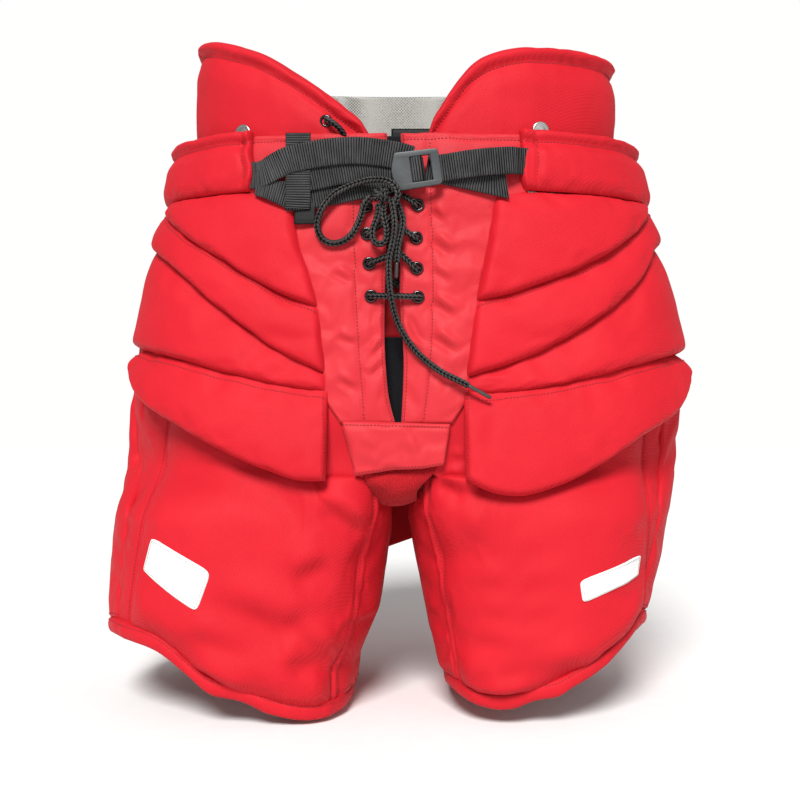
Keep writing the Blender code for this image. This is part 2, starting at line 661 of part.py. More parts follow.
def rounded_box(name, size, collection, made_of=None, bevel=0.0):
    bm = bmesh.new()
    bmesh.ops.create_cube(bm, size=1.0)
    bmesh.ops.scale(bm, vec=size, verts=bm.verts)
    if bevel:
        upright = [e for e in bm.edges if abs((e.verts[0].co - e.verts[1].co).normalized().y) > 0.9]
        bmesh.ops.bevel(bm, geom=upright, offset=bevel, segments=3, affect="EDGES")
    mesh = bpy.data.meshes.new(name)
    bm.to_mesh(mesh)
    bm.free()
    return place(name, mesh, made_of, collection)


def buckle(plastic):
    """A ladder buckle: a plate with a window, and a bar down the window that holds the webbing."""
    frame = rounded_box("buckle", BUCKLE_SIZE, PARTS, plastic, bevel=0.004)
    window = rounded_box("buckle_window", (BUCKLE_WINDOW[0], 0.02, BUCKLE_WINDOW[1]), CUTTERS)
    bar = rounded_box("buckle_bar", (BUCKLE_BAR_RADIUS * 2, BUCKLE_BAR_RADIUS * 2, BUCKLE_WINDOW[1] + 0.004), CUTTERS)
    window.location.x = BUCKLE_WINDOW_SHIFT
    bar.location.x = BUCKLE_WINDOW_SHIFT - 0.002
    bar.location.y = BUCKLE_SIZE[1] / 2 - BUCKLE_BAR_RADIUS * 1.2
    for helper, operation in ((window, "DIFFERENCE"), (bar, "UNION")):
        helper.parent = frame
        helper.hide_render = True
        helper.display_type = "WIRE"
        modifier = frame.modifiers.new(operation.title(), "BOOLEAN")
        modifier.operation = operation
        modifier.object = helper
        modifier.solver = "EXACT"
    frame.location = BUCKLE_CENTRE
    frame.rotation_euler = (0, BUCKLE_TILT, 0)


def smooth_route(points, spacing):
    """Points about spacing apart on a smooth curve through the given ones (Catmull-Rom)."""
    route = [Vector(p) for p in points]
    padded = [route[0] * 2 - route[1], *route, route[-1] * 2 - route[-2]]
    fine = []
    for i in range(1, len(padded) - 2):
        p0, p1, p2, p3 = padded[i - 1:i + 3]
        for k in range(8):
            t = k / 8
            fine.append(0.5 * ((2 * p1) + (p2 - p0) * t + (2 * p0 - 5 * p1 + 4 * p2 - p3) * t * t
                               + (3 * p1 - p0 - 3 * p2 + p3) * t ** 3))
    fine.append(route[-1])
    lengths = np.concatenate([[0], np.cumsum([(b - a).length for a, b in zip(fine, fine[1:])])])
    count = max(2, round(lengths[-1] / spacing))
    stations = np.linspace(0, lengths[-1], count + 1)
    return [Vector([float(np.interp(s, lengths, [p[k] for p in fine])) for k in range(3)]) for s in stations]


def tube(name, points, radius, made_of, spacing=None):
    """A lace or other round cord: a straight-sided curve with a round section and capped ends."""
    route = smooth_route(points, spacing or radius * 4)
    data = bpy.data.curves.new(name, "CURVE")
    data.dimensions = "3D"
    data.bevel_depth = radius
    data.bevel_resolution = 2
    data.use_fill_caps = True
    data.render_resolution_u = 0
    spline = data.splines.new("POLY")
    spline.points.add(len(route) - 1)
    for point, spot in zip(spline.points, route):
        point.co = (*spot, 1.0)
    return place(name, data, made_of)


def lacing_route():
    """One lace: from the upper left eyelet, crossing down, over the bottom bar, and up to the knot."""
    front, back = -LACE_AHEAD, FLY_THICKNESS + LACE_BEHIND
    deep = back + 0.0062

    def spot(x, z, depth):
        return front_point(x, z, -FLY_INSET - depth)

    def eyelet(side, level, comes_from):
        """Through an eyelet, from the back or from the front."""
        x, z = EYELET_X[side][level - 1], EYELETS[side][level - 1]
        inner = x - SIDES[side] * LACE_OFF_CENTRE
        stops = [spot(inner, z, back), spot(x, z, FLY_THICKNESS / 2), spot(inner, z, front)]
        return stops if comes_from == "back" else stops[::-1]

    def slit(z, comes_from):
        """Through the slit between the two fly panels."""
        x = (slit_edge("left", z) + slit_edge("right", z)) / 2
        stops = [spot(x, z, back), spot(x, z, FLY_THICKNESS / 2), spot(x, z, front)]
        return stops if comes_from == "back" else stops[::-1]

    route = eyelet("left", 4, "front")
    route += slit(0.4715, "back")
    route += eyelet("right", 3, "front")
    route += slit(0.4425, "back")
    route += eyelet("left", 2, "front")
    route += eyelet("right", 1, "back")
    route += eyelet("left", 1, "front")
    route += [spot(-0.020, 0.411, deep), spot(0.008, 0.424, deep)]
    route += eyelet("right", 2, "back")
    route += slit(0.4500, "front")
    route += eyelet("left", 3, "back")
    route += slit(0.4795, "front")
    route += eyelet("right", 4, "back")
    route += [spot(0.0080, 0.4950, front), spot(0.0015, 0.4985, front)]
    return route


def laces(lace, gloss):
    tube("lace_lacing", lacing_route(), LACE_HELD_RADIUS, lace, spacing=0.0055)
    tube("lace_wing", WING_LACE, LACE_HELD_RADIUS, lace)
    for name, route in LACE_ROUTES.items():
        tube(name, route, LACE_RADIUS, lace)
    tube("aglet_long", AGLET_LONG, AGLET_RADIUS, gloss, spacing=0.01)
    bm = bmesh.new()
    bmesh.ops.create_uvsphere(bm, u_segments=16, v_segments=10, radius=1.0)
    bmesh.ops.scale(bm, vec=KNOT_RADII, verts=bm.verts)
    mesh = bpy.data.meshes.new("lace_knot")
    bm.to_mesh(mesh)
    bm.free()
    place("lace_knot", mesh, lace).location = KNOT_CENTRE


def girdle_normal(side, u, z):
    step = 0.01
    along_hoop = girdle_point(side, u + step, z) - girdle_point(side, u - step, z)
    return Vector((0, 0, 1)).cross(along_hoop).normalized() * -SIDES[side]


def hardware(silver, gloss):
    for side in SIDES:
        u = BUTTON_PLACE[side]
        normal = girdle_normal(side, u, BUTTON_HEIGHT)
        centre = girdle_point(side, u, BUTTON_HEIGHT, BUTTON_OUT)
        half = BUTTON_THICKNESS / 2
        rim = BUTTON_RADIUS
        turned(f"suspender_button_{side}",
               ((0.0, half), (rim - 0.0008, half), (rim, half - 0.0006), (rim, -half), (0.0, -half)),
               centre, normal, silver, steps=28)
    u, z = WING_EYELET
    normal = girdle_normal("left", u, z)
    turned("eyelet_wing", [(r, max(h, 0.0004)) for r, h in EYELET_PROFILE if h > -0.001],
           girdle_point("left", u, z) + normal * 0.0004, normal, gloss)


# ---------------------------------------------------------------- assembly
def build():
    red = material("red_shell", RED, 0.78)
    pad_red = material("red_pad", RED_BRIGHT, 0.75)
    knit = material("red_knit", RED_KNIT, 0.92)
    mesh = material("grey_mesh", GREY_MESH, 0.85)
    black = material("black_fabric", BLACK_FABRIC, 0.9)
    webbing = material("webbing", WEBBING_GREY, 0.6)
    lace = material("lace", LACE_BLACK, 0.75)
    buckle_plastic = material("buckle_plastic", BUCKLE_GREY, 0.45)
    gloss = material("eyelet_enamel", EYELET_BLACK, 0.15, 0.3)
    silver = material("button_metal", SILVER, 0.25, 1.0)
    plate = material("thigh_plate_plastic", POLYETHYLENE, 0.5)
    girdle(red, mesh)
    for side in SIDES:
        belt(side, red)
        hip_pads(side, pad_red)
        seat(side, red)
        leg(side, pad_red, plate)
    tailbone(red)
    fly(red, black, gloss)
    crotch(red, knit)
    straps(webbing)
    buckle(buckle_plastic)
    laces(lace, gloss)
    hardware(silver, gloss)


build()
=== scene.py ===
"""Looks of the goalie hockey pants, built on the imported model. Metres, +Z up, front towards -Y.

The panels are grids on the same hip, girdle and leg shells as the part's own solids. Cloth pressure
stuffs them, one subdivision smooths them, and stitches, braid and ribs are real geometry on top.
"""
import json
import math

import bmesh
import bpy
import numpy as np
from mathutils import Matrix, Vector, noise
from mathutils.bvhtree import BVHTree

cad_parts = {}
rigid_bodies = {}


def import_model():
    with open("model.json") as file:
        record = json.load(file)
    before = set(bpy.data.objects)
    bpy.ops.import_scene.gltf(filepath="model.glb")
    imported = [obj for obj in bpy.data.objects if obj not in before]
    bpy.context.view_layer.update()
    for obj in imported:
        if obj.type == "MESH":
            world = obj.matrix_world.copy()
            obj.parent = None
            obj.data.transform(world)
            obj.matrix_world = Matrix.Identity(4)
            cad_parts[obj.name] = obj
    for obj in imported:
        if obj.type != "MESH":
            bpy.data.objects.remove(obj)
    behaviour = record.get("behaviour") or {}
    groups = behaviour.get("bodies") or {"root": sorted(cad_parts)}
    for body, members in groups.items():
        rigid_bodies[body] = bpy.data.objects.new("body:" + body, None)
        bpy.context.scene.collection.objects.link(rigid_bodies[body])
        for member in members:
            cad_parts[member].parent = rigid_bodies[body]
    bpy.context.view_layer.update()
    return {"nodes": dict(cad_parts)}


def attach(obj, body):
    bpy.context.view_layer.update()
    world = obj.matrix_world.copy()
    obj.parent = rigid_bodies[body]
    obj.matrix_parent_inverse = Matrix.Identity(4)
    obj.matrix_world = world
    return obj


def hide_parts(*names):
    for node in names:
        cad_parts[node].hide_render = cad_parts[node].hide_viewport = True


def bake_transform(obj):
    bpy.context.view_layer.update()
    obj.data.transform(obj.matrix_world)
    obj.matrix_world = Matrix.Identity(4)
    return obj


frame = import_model()

SIDES = {"left": -1, "right": 1}
MIRRORED = {"left": True, "right": False}  # grids that run outwards face inwards on the left

# ---------------------------------------------------------------- shells, as in the part
HOOP_POWER = 2.5
LEG_POWER = 2.6
INNER_FRONT_POWER = 4.2  # the legs are squarer at their inner front corners
HIP_HEIGHTS = (0.235, 0.30, 0.35, 0.40, 0.46, 0.50, 0.57)
HIP_HALF_WIDTH = {
    "left": (0.276, 0.279, 0.277, 0.270, 0.262, 0.249, 0.237),
    "right": (0.288, 0.2955, 0.2965, 0.289, 0.273, 0.265, 0.247),
}
HIP_DEPTH = (0.160, 0.160, 0.158, 0.155, 0.151, 0.148, 0.137)
GIRDLE_HALF_WIDTH = {"left": 0.215, "right": 0.225}
GIRDLE_DEPTH = 0.125
WING_END = 0.45
KIDNEY_START = 0.47
KIDNEY_END = 0.78
SPINE_START = 0.80
SPINE_TOP = 0.656
BELT_LOW = 0.505
BELT_HIGH = 0.567
BELT_START = {"left": 0.218, "right": 0.168}
BELT_MOUTH = {  # (height, start along the hip) of the tunnel's open end
    "left": ((0.505, 0.222), (0.526, 0.216), (0.540, 0.224), (0.567, 0.231)),
    "right": ((0.505, 0.171), (0.516, 0.166), (0.530, 0.170), (0.567, 0.176)),
}
PAD_THICKNESS = 0.015
FLAP_THICKNESS = 0.011
FLAP_FLARE = 0.012
FLAP_END = {"left": 0.43, "right": 0.435}
HIP_PAD_END = 0.62
SEAT_START = 0.64
SEAT_END = 0.84
TAIL_START = 0.86
SEAT_LOW = 0.305
TAIL_LOW = 0.270
TAIL_QUILTING = (0.330, 0.385, 0.440)
SEAT_STAND = 0.0134
UPPER_SEAM = {
    "left": ((0.08, 0.387), (0.144, 0.402), (0.26, 0.444), (0.34, 0.472), (0.45, 0.503)),
    "right": ((0.07, 0.395), (0.152, 0.410), (0.274, 0.444), (0.336, 0.466), (0.43, 0.503)),
}
MIDDLE_SEAM = {
    "left": ((0.08, 0.326), (0.14, 0.346), (0.252, 0.396), (0.324, 0.430), (0.40, 0.453), (0.5, 0.468)),
    "right": ((0.07, 0.325), (0.145, 0.344), (0.257, 0.386), (0.313, 0.413), (0.397, 0.454), (0.5, 0.468)),
}
FLAP_SEAM = {
    "left": ((0.08, 0.314), (0.139, 0.319), (0.244, 0.335), (0.306, 0.345), (0.404, 0.356), (0.6, 0.358)),
    "right": ((0.07, 0.314), (0.121, 0.314), (0.25, 0.330), (0.311, 0.340), (0.444, 0.354), (0.6, 0.358)),
}
FLAP_HEM = {
    "left": ((0.08, 0.233), (0.126, 0.233), (0.166, 0.242), (0.284, 0.281), (0.396, 0.323), (0.43, 0.343)),
    "right": ((0.07, 0.238), (0.101, 0.224), (0.138, 0.218), (0.19, 0.227), (0.306, 0.273), (0.369, 0.296),
              (0.435, 0.335)),
}
PAD_EDGE = {
    "left": ((0.23, 0.090), (0.329, 0.093), (0.397, 0.108), (0.471, 0.143), (0.505, 0.150)),
    "right": ((0.23, 0.077), (0.326, 0.077), (0.398, 0.092), (0.499, 0.126), (0.505, 0.127)),
}
PAD_A_END = {"left": 0.43, "right": 0.41}
WING_TOP = {
    "left": ((0.045, 0.554), (0.052, 0.561), (0.065, 0.573), (0.092, 0.587), (0.136, 0.606), (0.186, 0.625),
             (0.237, 0.642), (0.293, 0.655), (0.355, 0.666), (0.45, 0.677)),
    "right": ((0.042, 0.554), (0.053, 0.574), (0.071, 0.593), (0.126, 0.633), (0.154, 0.641), (0.192, 0.647),
              (0.241, 0.650), (0.45, 0.656)),
}
FLY_INSET = 0.006
FLY_THICKNESS = 0.008
FLY_LOW = 0.285
FLY_TOP = 0.562
SLIT = ((0.285, -0.0035, 0.0005), (0.300, -0.0075, 0.0010), (0.345, -0.0128, 0.0024), (0.400, -0.0132, -0.0012),
        (0.460, -0.0110, -0.0010), (0.562, -0.0100, -0.0010))
CROTCH_LOW = 0.243
CROTCH_EDGES = ((0.243, -0.042, 0.040), (0.283, -0.0535, 0.0465))
GUSSET_PATH = ((-0.132, 0.264), (-0.1420, 0.246), (-0.1470, 0.232), (-0.1430, 0.220), (-0.130, 0.2125),
               (-0.112, 0.2085), (0.0, 0.2030), (0.112, 0.2050), (0.133, 0.216), (0.139, 0.240), (0.140, 0.272))
LEG_HEIGHTS = (0.0, 0.05, 0.10, 0.20, 0.25, 0.30, 0.35)
LEG_OUTER = {
    "left": (0.300, 0.300, 0.297, 0.290, 0.289, 0.285, 0.270),
    "right": (0.244, 0.247, 0.253, 0.276, 0.288, 0.289, 0.280),
}
LEG_INNER = {
    "left": (0.048, 0.046, 0.025, 0.010, 0.009, 0.009, 0.009),
    "right": (0.052, 0.040, 0.031, 0.011, 0.010, 0.010, 0.010),
}
LEG_DEPTH = 0.147
UNDER_FLAP_FROM = 0.19
UNDER_FLAP_FULL = 0.25
UNDER_FLAP_INSET = 0.026
BESIDE_CROTCH_INSET = 0.010
HEM_HEIGHT = 0.016
HEM_LINE = {  # (distance from the middle, height of the hem's underside) along the leg's front
    "left": ((0.045, 0.006), (0.072, 0.003), (0.100, 0.006), (0.126, 0.013), (0.151, 0.019), (0.170, 0.030),
             (0.195, 0.043), (0.216, 0.058), (0.235, 0.069), (0.267, 0.075), (0.300, 0.077)),
    "right": ((0.040, 0.026), (0.064, 0.018), (0.087, 0.015), (0.110, 0.018), (0.128, 0.022), (0.150, 0.032),
              (0.179, 0.045), (0.208, 0.066), (0.222, 0.080), (0.250, 0.088)),
}
HEM_REAR_LINE = ((0.085, 0.0), (0.120, 0.006), (0.180, 0.030), (0.225, 0.046), (0.300, 0.048))
WEBBING_WIDTH = 0.0254
WEBBING_THICKNESS = 0.0016
EYELETS = {
    "left": (0.4039, 0.4347, 0.4627, 0.4885),
    "right": (0.4030, 0.4301, 0.4589, 0.4897),
}
EYELET_X = {"left": (-0.0270, -0.0289, -0.0308, -0.0315), "right": (0.0168, 0.0158, 0.0152, 0.0168)}
WING_EYELET = (0.117, 0.5737)
BUTTON_PLACE = {"left": 0.27, "right": 0.225}
BUTTON_HEIGHT = 0.5655


def smooth_step(value, low, high):
    share = np.clip((value - low) / (high - low), 0, 1)
    return share * share * (3 - 2 * share)


def along(points, value):
    """A seam's second value at the given first value: a smooth curve through its points."""
    x, y = (np.array(column, float) for column in zip(*points))
    slope = np.gradient(y, x)
    value = np.clip(value, x[0], x[-1])
    k = np.clip(np.searchsorted(x, value, side="right") - 1, 0, len(x) - 2)
    width = x[k + 1] - x[k]
    t = (value - x[k]) / width
    return ((2 * t ** 3 - 3 * t ** 2 + 1) * y[k] + (t ** 3 - 2 * t ** 2 + t) * width * slope[k]
            + (3 * t ** 2 - 2 * t ** 3) * y[k + 1] + (t ** 3 - t ** 2) * width * slope[k + 1])


def hoop_tables():
    """How far round a hoop each point lies, as a share, with its place across and back."""
    width, depth = 0.27, 0.155
    angle = np.linspace(0, math.pi, 721)
    across = np.abs(np.sin(angle)) ** (2 / HOOP_POWER)
    back = -np.sign(np.cos(angle)) * np.abs(np.cos(angle)) ** (2 / HOOP_POWER)
    share = np.concatenate([[0], np.cumsum(np.hypot(np.diff(across) * width, np.diff(back) * depth))])
    return share / share[-1], across, back


HOOP_SHARE, HOOP_ACROSS, HOOP_BACK = hoop_tables()


def points_of(x, y, z):
    return np.stack(np.broadcast_arrays(x, y, z), axis=-1)


def hoop(side, u, z, half_width, depth):
    """u is 0 at the front centre, about 0.5 at the side, 1 at the back; past 1 it goes on round."""
    folded = np.where(u > 1, 2 - u, u)
    across = np.interp(folded, HOOP_SHARE, HOOP_ACROSS) * np.where(u > 1, -1, 1)
    return points_of(SIDES[side] * half_width * across, depth * np.interp(folded, HOOP_SHARE, HOOP_BACK), z)


def hip_size(side, z):
    return np.interp(z, HIP_HEIGHTS, HIP_HALF_WIDTH[side]), np.interp(z, HIP_HEIGHTS, HIP_DEPTH)


def hip(side, u, z, out=0.0):
    half_width, depth = hip_size(side, z)
    return hoop(side, u, z, half_width + out, depth + out)


def girdle(side, u, z, out=0.0):
    return hoop(side, u, z, GIRDLE_HALF_WIDTH[side] + out, GIRDLE_DEPTH + out)


def front(x, z, out=0.0):
    """The hip shell's front at this x and height."""
    left, right = hip_size("left", z)[0], hip_size("right", z)[0]
    half_width = np.where(np.asarray(x) < 0, left, right) + out
    depth = hip_size("left", z)[1] + out
    return points_of(x, -depth * (1 - (np.abs(x) / half_width) ** HOOP_POWER) ** (1 / HOOP_POWER), z)


def leg(side, turn, z, out=0.0):
    """turn is 0 at the leg's front, 0.25 at its outer side, 0.5 at its back, 0.75 at its inner side."""
    outer = np.interp(z, LEG_HEIGHTS, LEG_OUTER[side])
    inner = np.interp(z, LEG_HEIGHTS, LEG_INNER[side])
    angle = np.asarray(turn) * 2 * math.pi
    corner = (np.sin(angle) < 0) & (np.cos(angle) > 0)
    power = np.where(corner, INNER_FRONT_POWER + 2.0 * smooth_step(z, 0.15, 0.22), LEG_POWER)
    across = np.copysign(np.abs(np.sin(angle)) ** (2 / power), np.sin(angle))
    ahead = np.copysign(np.abs(np.cos(angle)) ** (2 / power), np.cos(angle))
    x = (outer + inner) / 2 + ((outer - inner) / 2 + out) * across
    y = -(LEG_DEPTH + out) * ahead
    half_width, depth = hip_size(side, z)
    shell = -depth * (1 - np.clip(x / half_width, 0, 1) ** HOOP_POWER) ** (1 / HOOP_POWER)
    inset = BESIDE_CROTCH_INSET + (UNDER_FLAP_INSET - BESIDE_CROTCH_INSET) * smooth_step(x, 0.056, 0.078)
    limit = np.minimum(shell + inset - out, 0)
    tucked = smooth_step(z, UNDER_FLAP_FROM, UNDER_FLAP_FULL)
    y = np.where(y < 0, np.maximum(y, y + (limit - y) * tucked), y)
    return points_of(SIDES[side] * x, y, z)


def hem_height(side, turn):
    spot = leg(side, turn, 0.05)
    ahead = along(HEM_LINE[side], np.abs(spot[..., 0]))
    behind = along(HEM_REAR_LINE, np.abs(spot[..., 0]))
    return np.maximum(ahead + (behind - ahead) * smooth_step(spot[..., 1], -0.10, 0.06), 0)


def slit_edge(side, z):
    column = 1 if side == "left" else 2
    return along([(row[0], row[column]) for row in SLIT], z)


# ---------------------------------------------------------------- materials
def nodes_of(name, colour, roughness, **more):
    """A new material, its node tree and its shader, with the plain values on the shader's sockets."""
    made = bpy.data.materials.new(name)
    made.use_nodes = True
    tree = made.node_tree
    shader = tree.nodes["Principled BSDF"]
    shader.inputs["Base Color"].default_value = (*colour, 1)
    shader.inputs["Roughness"].default_value = roughness
    for socket, value in more.items():
        shader.inputs[socket.replace("_", " ")].default_value = value
    return made, tree, shader


def add(tree, kind, **values):
    """A node with its properties and its input values set."""
    node = tree.nodes.new(kind)
    for key, value in values.items():
        if hasattr(node, key):
            setattr(node, key, value)
        else:
            node.inputs[key.replace("_", " ")].default_value = value
    return node


def turned_coordinates(tree, rotation=(0, 0, 0)):
    place = add(tree, "ShaderNodeTexCoord")
    mapping = add(tree, "ShaderNodeMapping")
    mapping.inputs["Rotation"].default_value = rotation
    tree.links.new(place.outputs["Object"], mapping.inputs["Vector"])
    return mapping.outputs["Vector"]


def texture(tree, kind, vector, **values):
    node = add(tree, f"ShaderNodeTex{kind}", **values)
    tree.links.new(vector, node.inputs["Vector"])
    return node


def computed(tree, operation, *values, clamp=False):
    """The result of a Math node on sockets and plain numbers."""
    node = add(tree, "ShaderNodeMath", operation=operation, use_clamp=clamp)
    for socket, value in zip(node.inputs, values):
        if isinstance(value, float):
            socket.default_value = value
        else:
            tree.links.new(value, socket)
    return node.outputs[0]


def mapped(tree, value, low, high, to_low, to_high):
    """A value carried over from one range to another."""
    node = add(tree, "ShaderNodeMapRange", From_Min=low, From_Max=high, To_Min=to_low, To_Max=to_high)
    tree.links.new(value, node.inputs["Value"])
    return node.outputs[0]


def dress(tree, factor, first, second, rough, height, strength, distance, invert=False):
    """Links the shader's colour, from the first to the second by factor, its roughness and its relief."""
    shader = tree.nodes["Principled BSDF"]
    mix = add(tree, "ShaderNodeMix", data_type="RGBA")
    mix.inputs[6].default_value = (*first, 1)
    mix.inputs[7].default_value = (*second, 1)
    tree.links.new(factor, mix.inputs["Factor"])
    tree.links.new(mix.outputs[2], shader.inputs["Base Color"])
    if rough:
        tree.links.new(rough, shader.inputs["Roughness"])
    relief = add(tree, "ShaderNodeBump", Strength=strength, Distance=distance, invert=invert)
    tree.links.new(height, relief.inputs["Height"])
    tree.links.new(relief.outputs["Normal"], shader.inputs["Normal"])


def woven(name, colour, deep, roughness=0.62, period=0.0013, bump=0.35, sheen=0.04):
    """Twill: two diagonal sets of threads, fine grain and a slow change of shade."""
    made, tree, shader = nodes_of(name, colour, roughness, Sheen_Weight=sheen, Sheen_Roughness=0.45,
                                  Specular_IOR_Level=0.14)
    shader.inputs["Sheen Tint"].default_value = (*[min(1.0, 0.2 + c) for c in colour], 1)
    plain = turned_coordinates(tree)
    crossed = turned_coordinates(tree, rotation=(0, math.pi / 2, 0))
    scale = math.pi / 5 / period / math.sqrt(2)
    wave = {"bands_direction": "DIAGONAL", "Distortion": 2.5, "Detail": 2.0, "Detail_Scale": 6.0}
    warp = texture(tree, "Wave", plain, Scale=scale, **wave).outputs["Fac"]
    weft = texture(tree, "Wave", crossed, Scale=scale * 0.6, **wave).outputs["Fac"]
    fine = texture(tree, "Noise", plain, Scale=1400.0, Detail=2.0).outputs["Fac"]
    slow = texture(tree, "Noise", plain, Scale=14.0, Detail=3.0).outputs["Fac"]
    weave = computed(tree, "MULTIPLY_ADD", fine, 0.8, computed(tree, "MULTIPLY", warp, weft))
    shade = mapped(tree, weave, 0.25, 1.15, 0.0, 0.6)
    drift = mapped(tree, slow, 0.3, 0.7, 0.0, 0.3)
    rough = mapped(tree, weave, 0.2, 1.2, roughness - 0.08, roughness + 0.1)
    dress(tree, computed(tree, "ADD", shade, drift, clamp=True), colour, deep, rough, weave, bump, 0.0004)
    return made


def knitted(name, colour, deep, scale=620.0):
    """Rib knit: rows of small loops."""
    made, tree, _ = nodes_of(name, colour, 0.85, Sheen_Weight=0.05, Specular_IOR_Level=0.2)
    vector = turned_coordinates(tree)
    loops = texture(tree, "Voronoi", vector, Scale=scale).outputs["Distance"]
    ribs = texture(tree, "Wave", vector, bands_direction="X", Scale=scale * 0.32, Distortion=1.2).outputs["Fac"]
    both = computed(tree, "MULTIPLY_ADD", ribs, 0.6, loops)
    dress(tree, both, colour, deep, None, both, 0.8, 0.0006)
    return made


def spacer_mesh(name, colour, deep):
    """Spacer mesh: a close pattern of small round holes."""
    made, tree, _ = nodes_of(name, colour, 0.8, Sheen_Weight=0.2)
    turned = turned_coordinates(tree, rotation=(0, math.pi / 4, 0))
    holes = texture(tree, "Voronoi", turned, Scale=420.0, Randomness=0.12).outputs["Distance"]
    slow = texture(tree, "Noise", turned_coordinates(tree), Scale=30.0, Detail=2.0).outputs["Fac"]
    # painted shade: the holes take the darker grey, standing for the shade inside them; the bump also sinks them
    depth = mapped(tree, holes, 0.2, 0.5, 1.0, 0.0)
    dress(tree, depth, colour, deep, mapped(tree, slow, 0.3, 0.7, 0.7, 0.9), depth, 0.7, 0.0006, invert=True)
    return made


def speckled(name, colour, deep, roughness, scale=900.0, bump=0.3, **more):
    """Yarn, webbing or moulded plastic: fine grain in colour, roughness and height."""
    made, tree, _ = nodes_of(name, colour, roughness, **more)
    vector = turned_coordinates(tree)
    fine = texture(tree, "Noise", vector, Scale=scale, Detail=3.0).outputs["Fac"]
    wear = texture(tree, "Noise", vector, Scale=scale * 0.04, Detail=4.0).outputs["Fac"]
    share = mapped(tree, computed(tree, "MULTIPLY", fine, wear), 0.12, 0.42, 0.0, 1.0)
    rough = mapped(tree, wear, 0.3, 0.7, max(0.02, roughness - 0.08), min(1.0, roughness + 0.08))
    dress(tree, share, deep, colour, rough, fine, bump, 0.0003)
    return made


RED = woven("red_twill", (0.56, 0.0125, 0.0235), (0.42, 0.006, 0.0125))
RED_FLY = woven("red_nylon", (0.56, 0.030, 0.040), (0.44, 0.014, 0.021), roughness=0.5, period=0.0014, bump=0.3,
                sheen=0.4)
RED_LINING = woven("red_lining", (0.42, 0.010, 0.016), (0.25, 0.004, 0.008), period=0.0009)
# painted shade: the stitches are a darker red than the fabric, standing for the shade in their needle holes
RED_THREAD_PAINTED_SHADE = speckled("red_thread_painted_shade", (0.30, 0.004, 0.009), (0.19, 0.003, 0.006), 0.55, scale=2500.0)
RED_KNIT = knitted("red_rib_knit", (0.56, 0.010, 0.018), (0.30, 0.003, 0.007))
GREY_MESH = spacer_mesh("grey_spacer_mesh", (0.36, 0.36, 0.33), (0.10, 0.10, 0.09))
BLACK_BRUSHED = knitted("black_brushed", (0.010, 0.010, 0.014), (0.002, 0.002, 0.003), scale=900.0)
WEBBING = speckled("black_webbing", (0.060, 0.059, 0.060), (0.020, 0.020, 0.020), 0.60, scale=1800.0,
                   Specular_IOR_Level=0.25)
# painted shade: the faces between the webbing's ribs take this near-black, standing for the shade in the valleys
WEBBING_PAINTED_SHADE = speckled("black_webbing_painted_shade", (0.004, 0.004, 0.004), (0.001, 0.001, 0.001), 0.8, scale=1800.0,
                       Specular_IOR_Level=0.03)
TAPE = speckled("black_tape", (0.014, 0.014, 0.014), (0.008, 0.008, 0.008), 0.5, scale=700.0,
                Specular_IOR_Level=0.15)
BRAID = speckled("black_braid", (0.062, 0.059, 0.057), (0.020, 0.020, 0.019), 0.60, scale=2200.0,
                 Specular_IOR_Level=0.25)
# painted shade: the faces between the braid's stitches take this near-black, standing for the shade in the valleys
BRAID_PAINTED_SHADE = speckled("black_braid_painted_shade", (0.003, 0.003, 0.003), (0.001, 0.001, 0.001), 0.8, scale=2200.0,
                     Specular_IOR_Level=0.03)
AGLET = speckled("lace_tip_film", (0.050, 0.043, 0.040), (0.028, 0.024, 0.022), 0.35, scale=600.0, bump=0.1)
BUCKLE = speckled("buckle_acetal", (0.046, 0.051, 0.052), (0.032, 0.036, 0.037), 0.42, scale=500.0, bump=0.12)
ENAMEL = speckled("black_enamel", (0.010, 0.008, 0.010), (0.004, 0.003, 0.004), 0.12, scale=300.0, bump=0.02,
                  Coat_Weight=0.6, Metallic=0.2)
SILVER = speckled("brushed_steel", (0.52, 0.51, 0.49), (0.36, 0.35, 0.34), 0.26, scale=800.0, bump=0.05,
                  Metallic=1.0)
PLASTIC = speckled("polyethylene", (0.62, 0.63, 0.62), (0.52, 0.53, 0.52), 0.5, scale=260.0, bump=0.15)
PATCH = woven("white_patch", (0.84, 0.84, 0.83), (0.66, 0.66, 0.66), period=0.0009, sheen=0.1)
PATCH_EDGE = speckled("grey_edging", (0.36, 0.34, 0.30), (0.22, 0.20, 0.18), 0.6, scale=1800.0)


# ---------------------------------------------------------------- mesh tools
def make(name, points, faces, made_of):
    """A smooth-shaded mesh object in the scene, of one material."""
    mesh = bpy.data.meshes.new(name)
    mesh.from_pydata(np.asarray(points).reshape(-1, 3).tolist(), [], faces)
    mesh.update()
    mesh.shade_smooth()
    piece = bpy.data.objects.new(name, mesh)
    bpy.context.scene.collection.objects.link(piece)
    mesh.materials.append(made_of)
    return piece


def face_outwards(mesh, merge=0.0):
    """Turns every face of a closed mesh outwards, after merging points this close."""
    solid = bmesh.new()
    solid.from_mesh(mesh)
    if merge:
        bmesh.ops.remove_doubles(solid, verts=solid.verts, dist=merge)
    bmesh.ops.recalc_face_normals(solid, faces=solid.faces)
    solid.to_mesh(mesh)
    solid.free()
    mesh.shade_smooth()


def grid_faces(rows, columns, start=0, wrap=False, flip=False):
    """Quads of a grid of points whose index is start + row * columns + column."""
    i, j = np.meshgrid(np.arange(rows - 1), np.arange(columns if wrap else columns - 1), indexing="ij")
    k = (j + 1) % columns
    quads = np.stack([i * columns + j, (i + 1) * columns + j, (i + 1) * columns + k, i * columns + k], axis=-1)
    quads = quads.reshape(-1, 4) + start
    return (quads[:, ::-1] if flip else quads).tolist()


def spread(count, ends=0.45):
    """0..1 in count steps, closer together near the ends."""
    t = np.linspace(0, 1, count + 1)
    return (1 - ends) * t + ends * (0.5 - 0.5 * np.cos(math.pi * t))


def unit(vectors):
    return vectors / np.maximum(np.linalg.norm(vectors, axis=-1, keepdims=True), 1e-12)


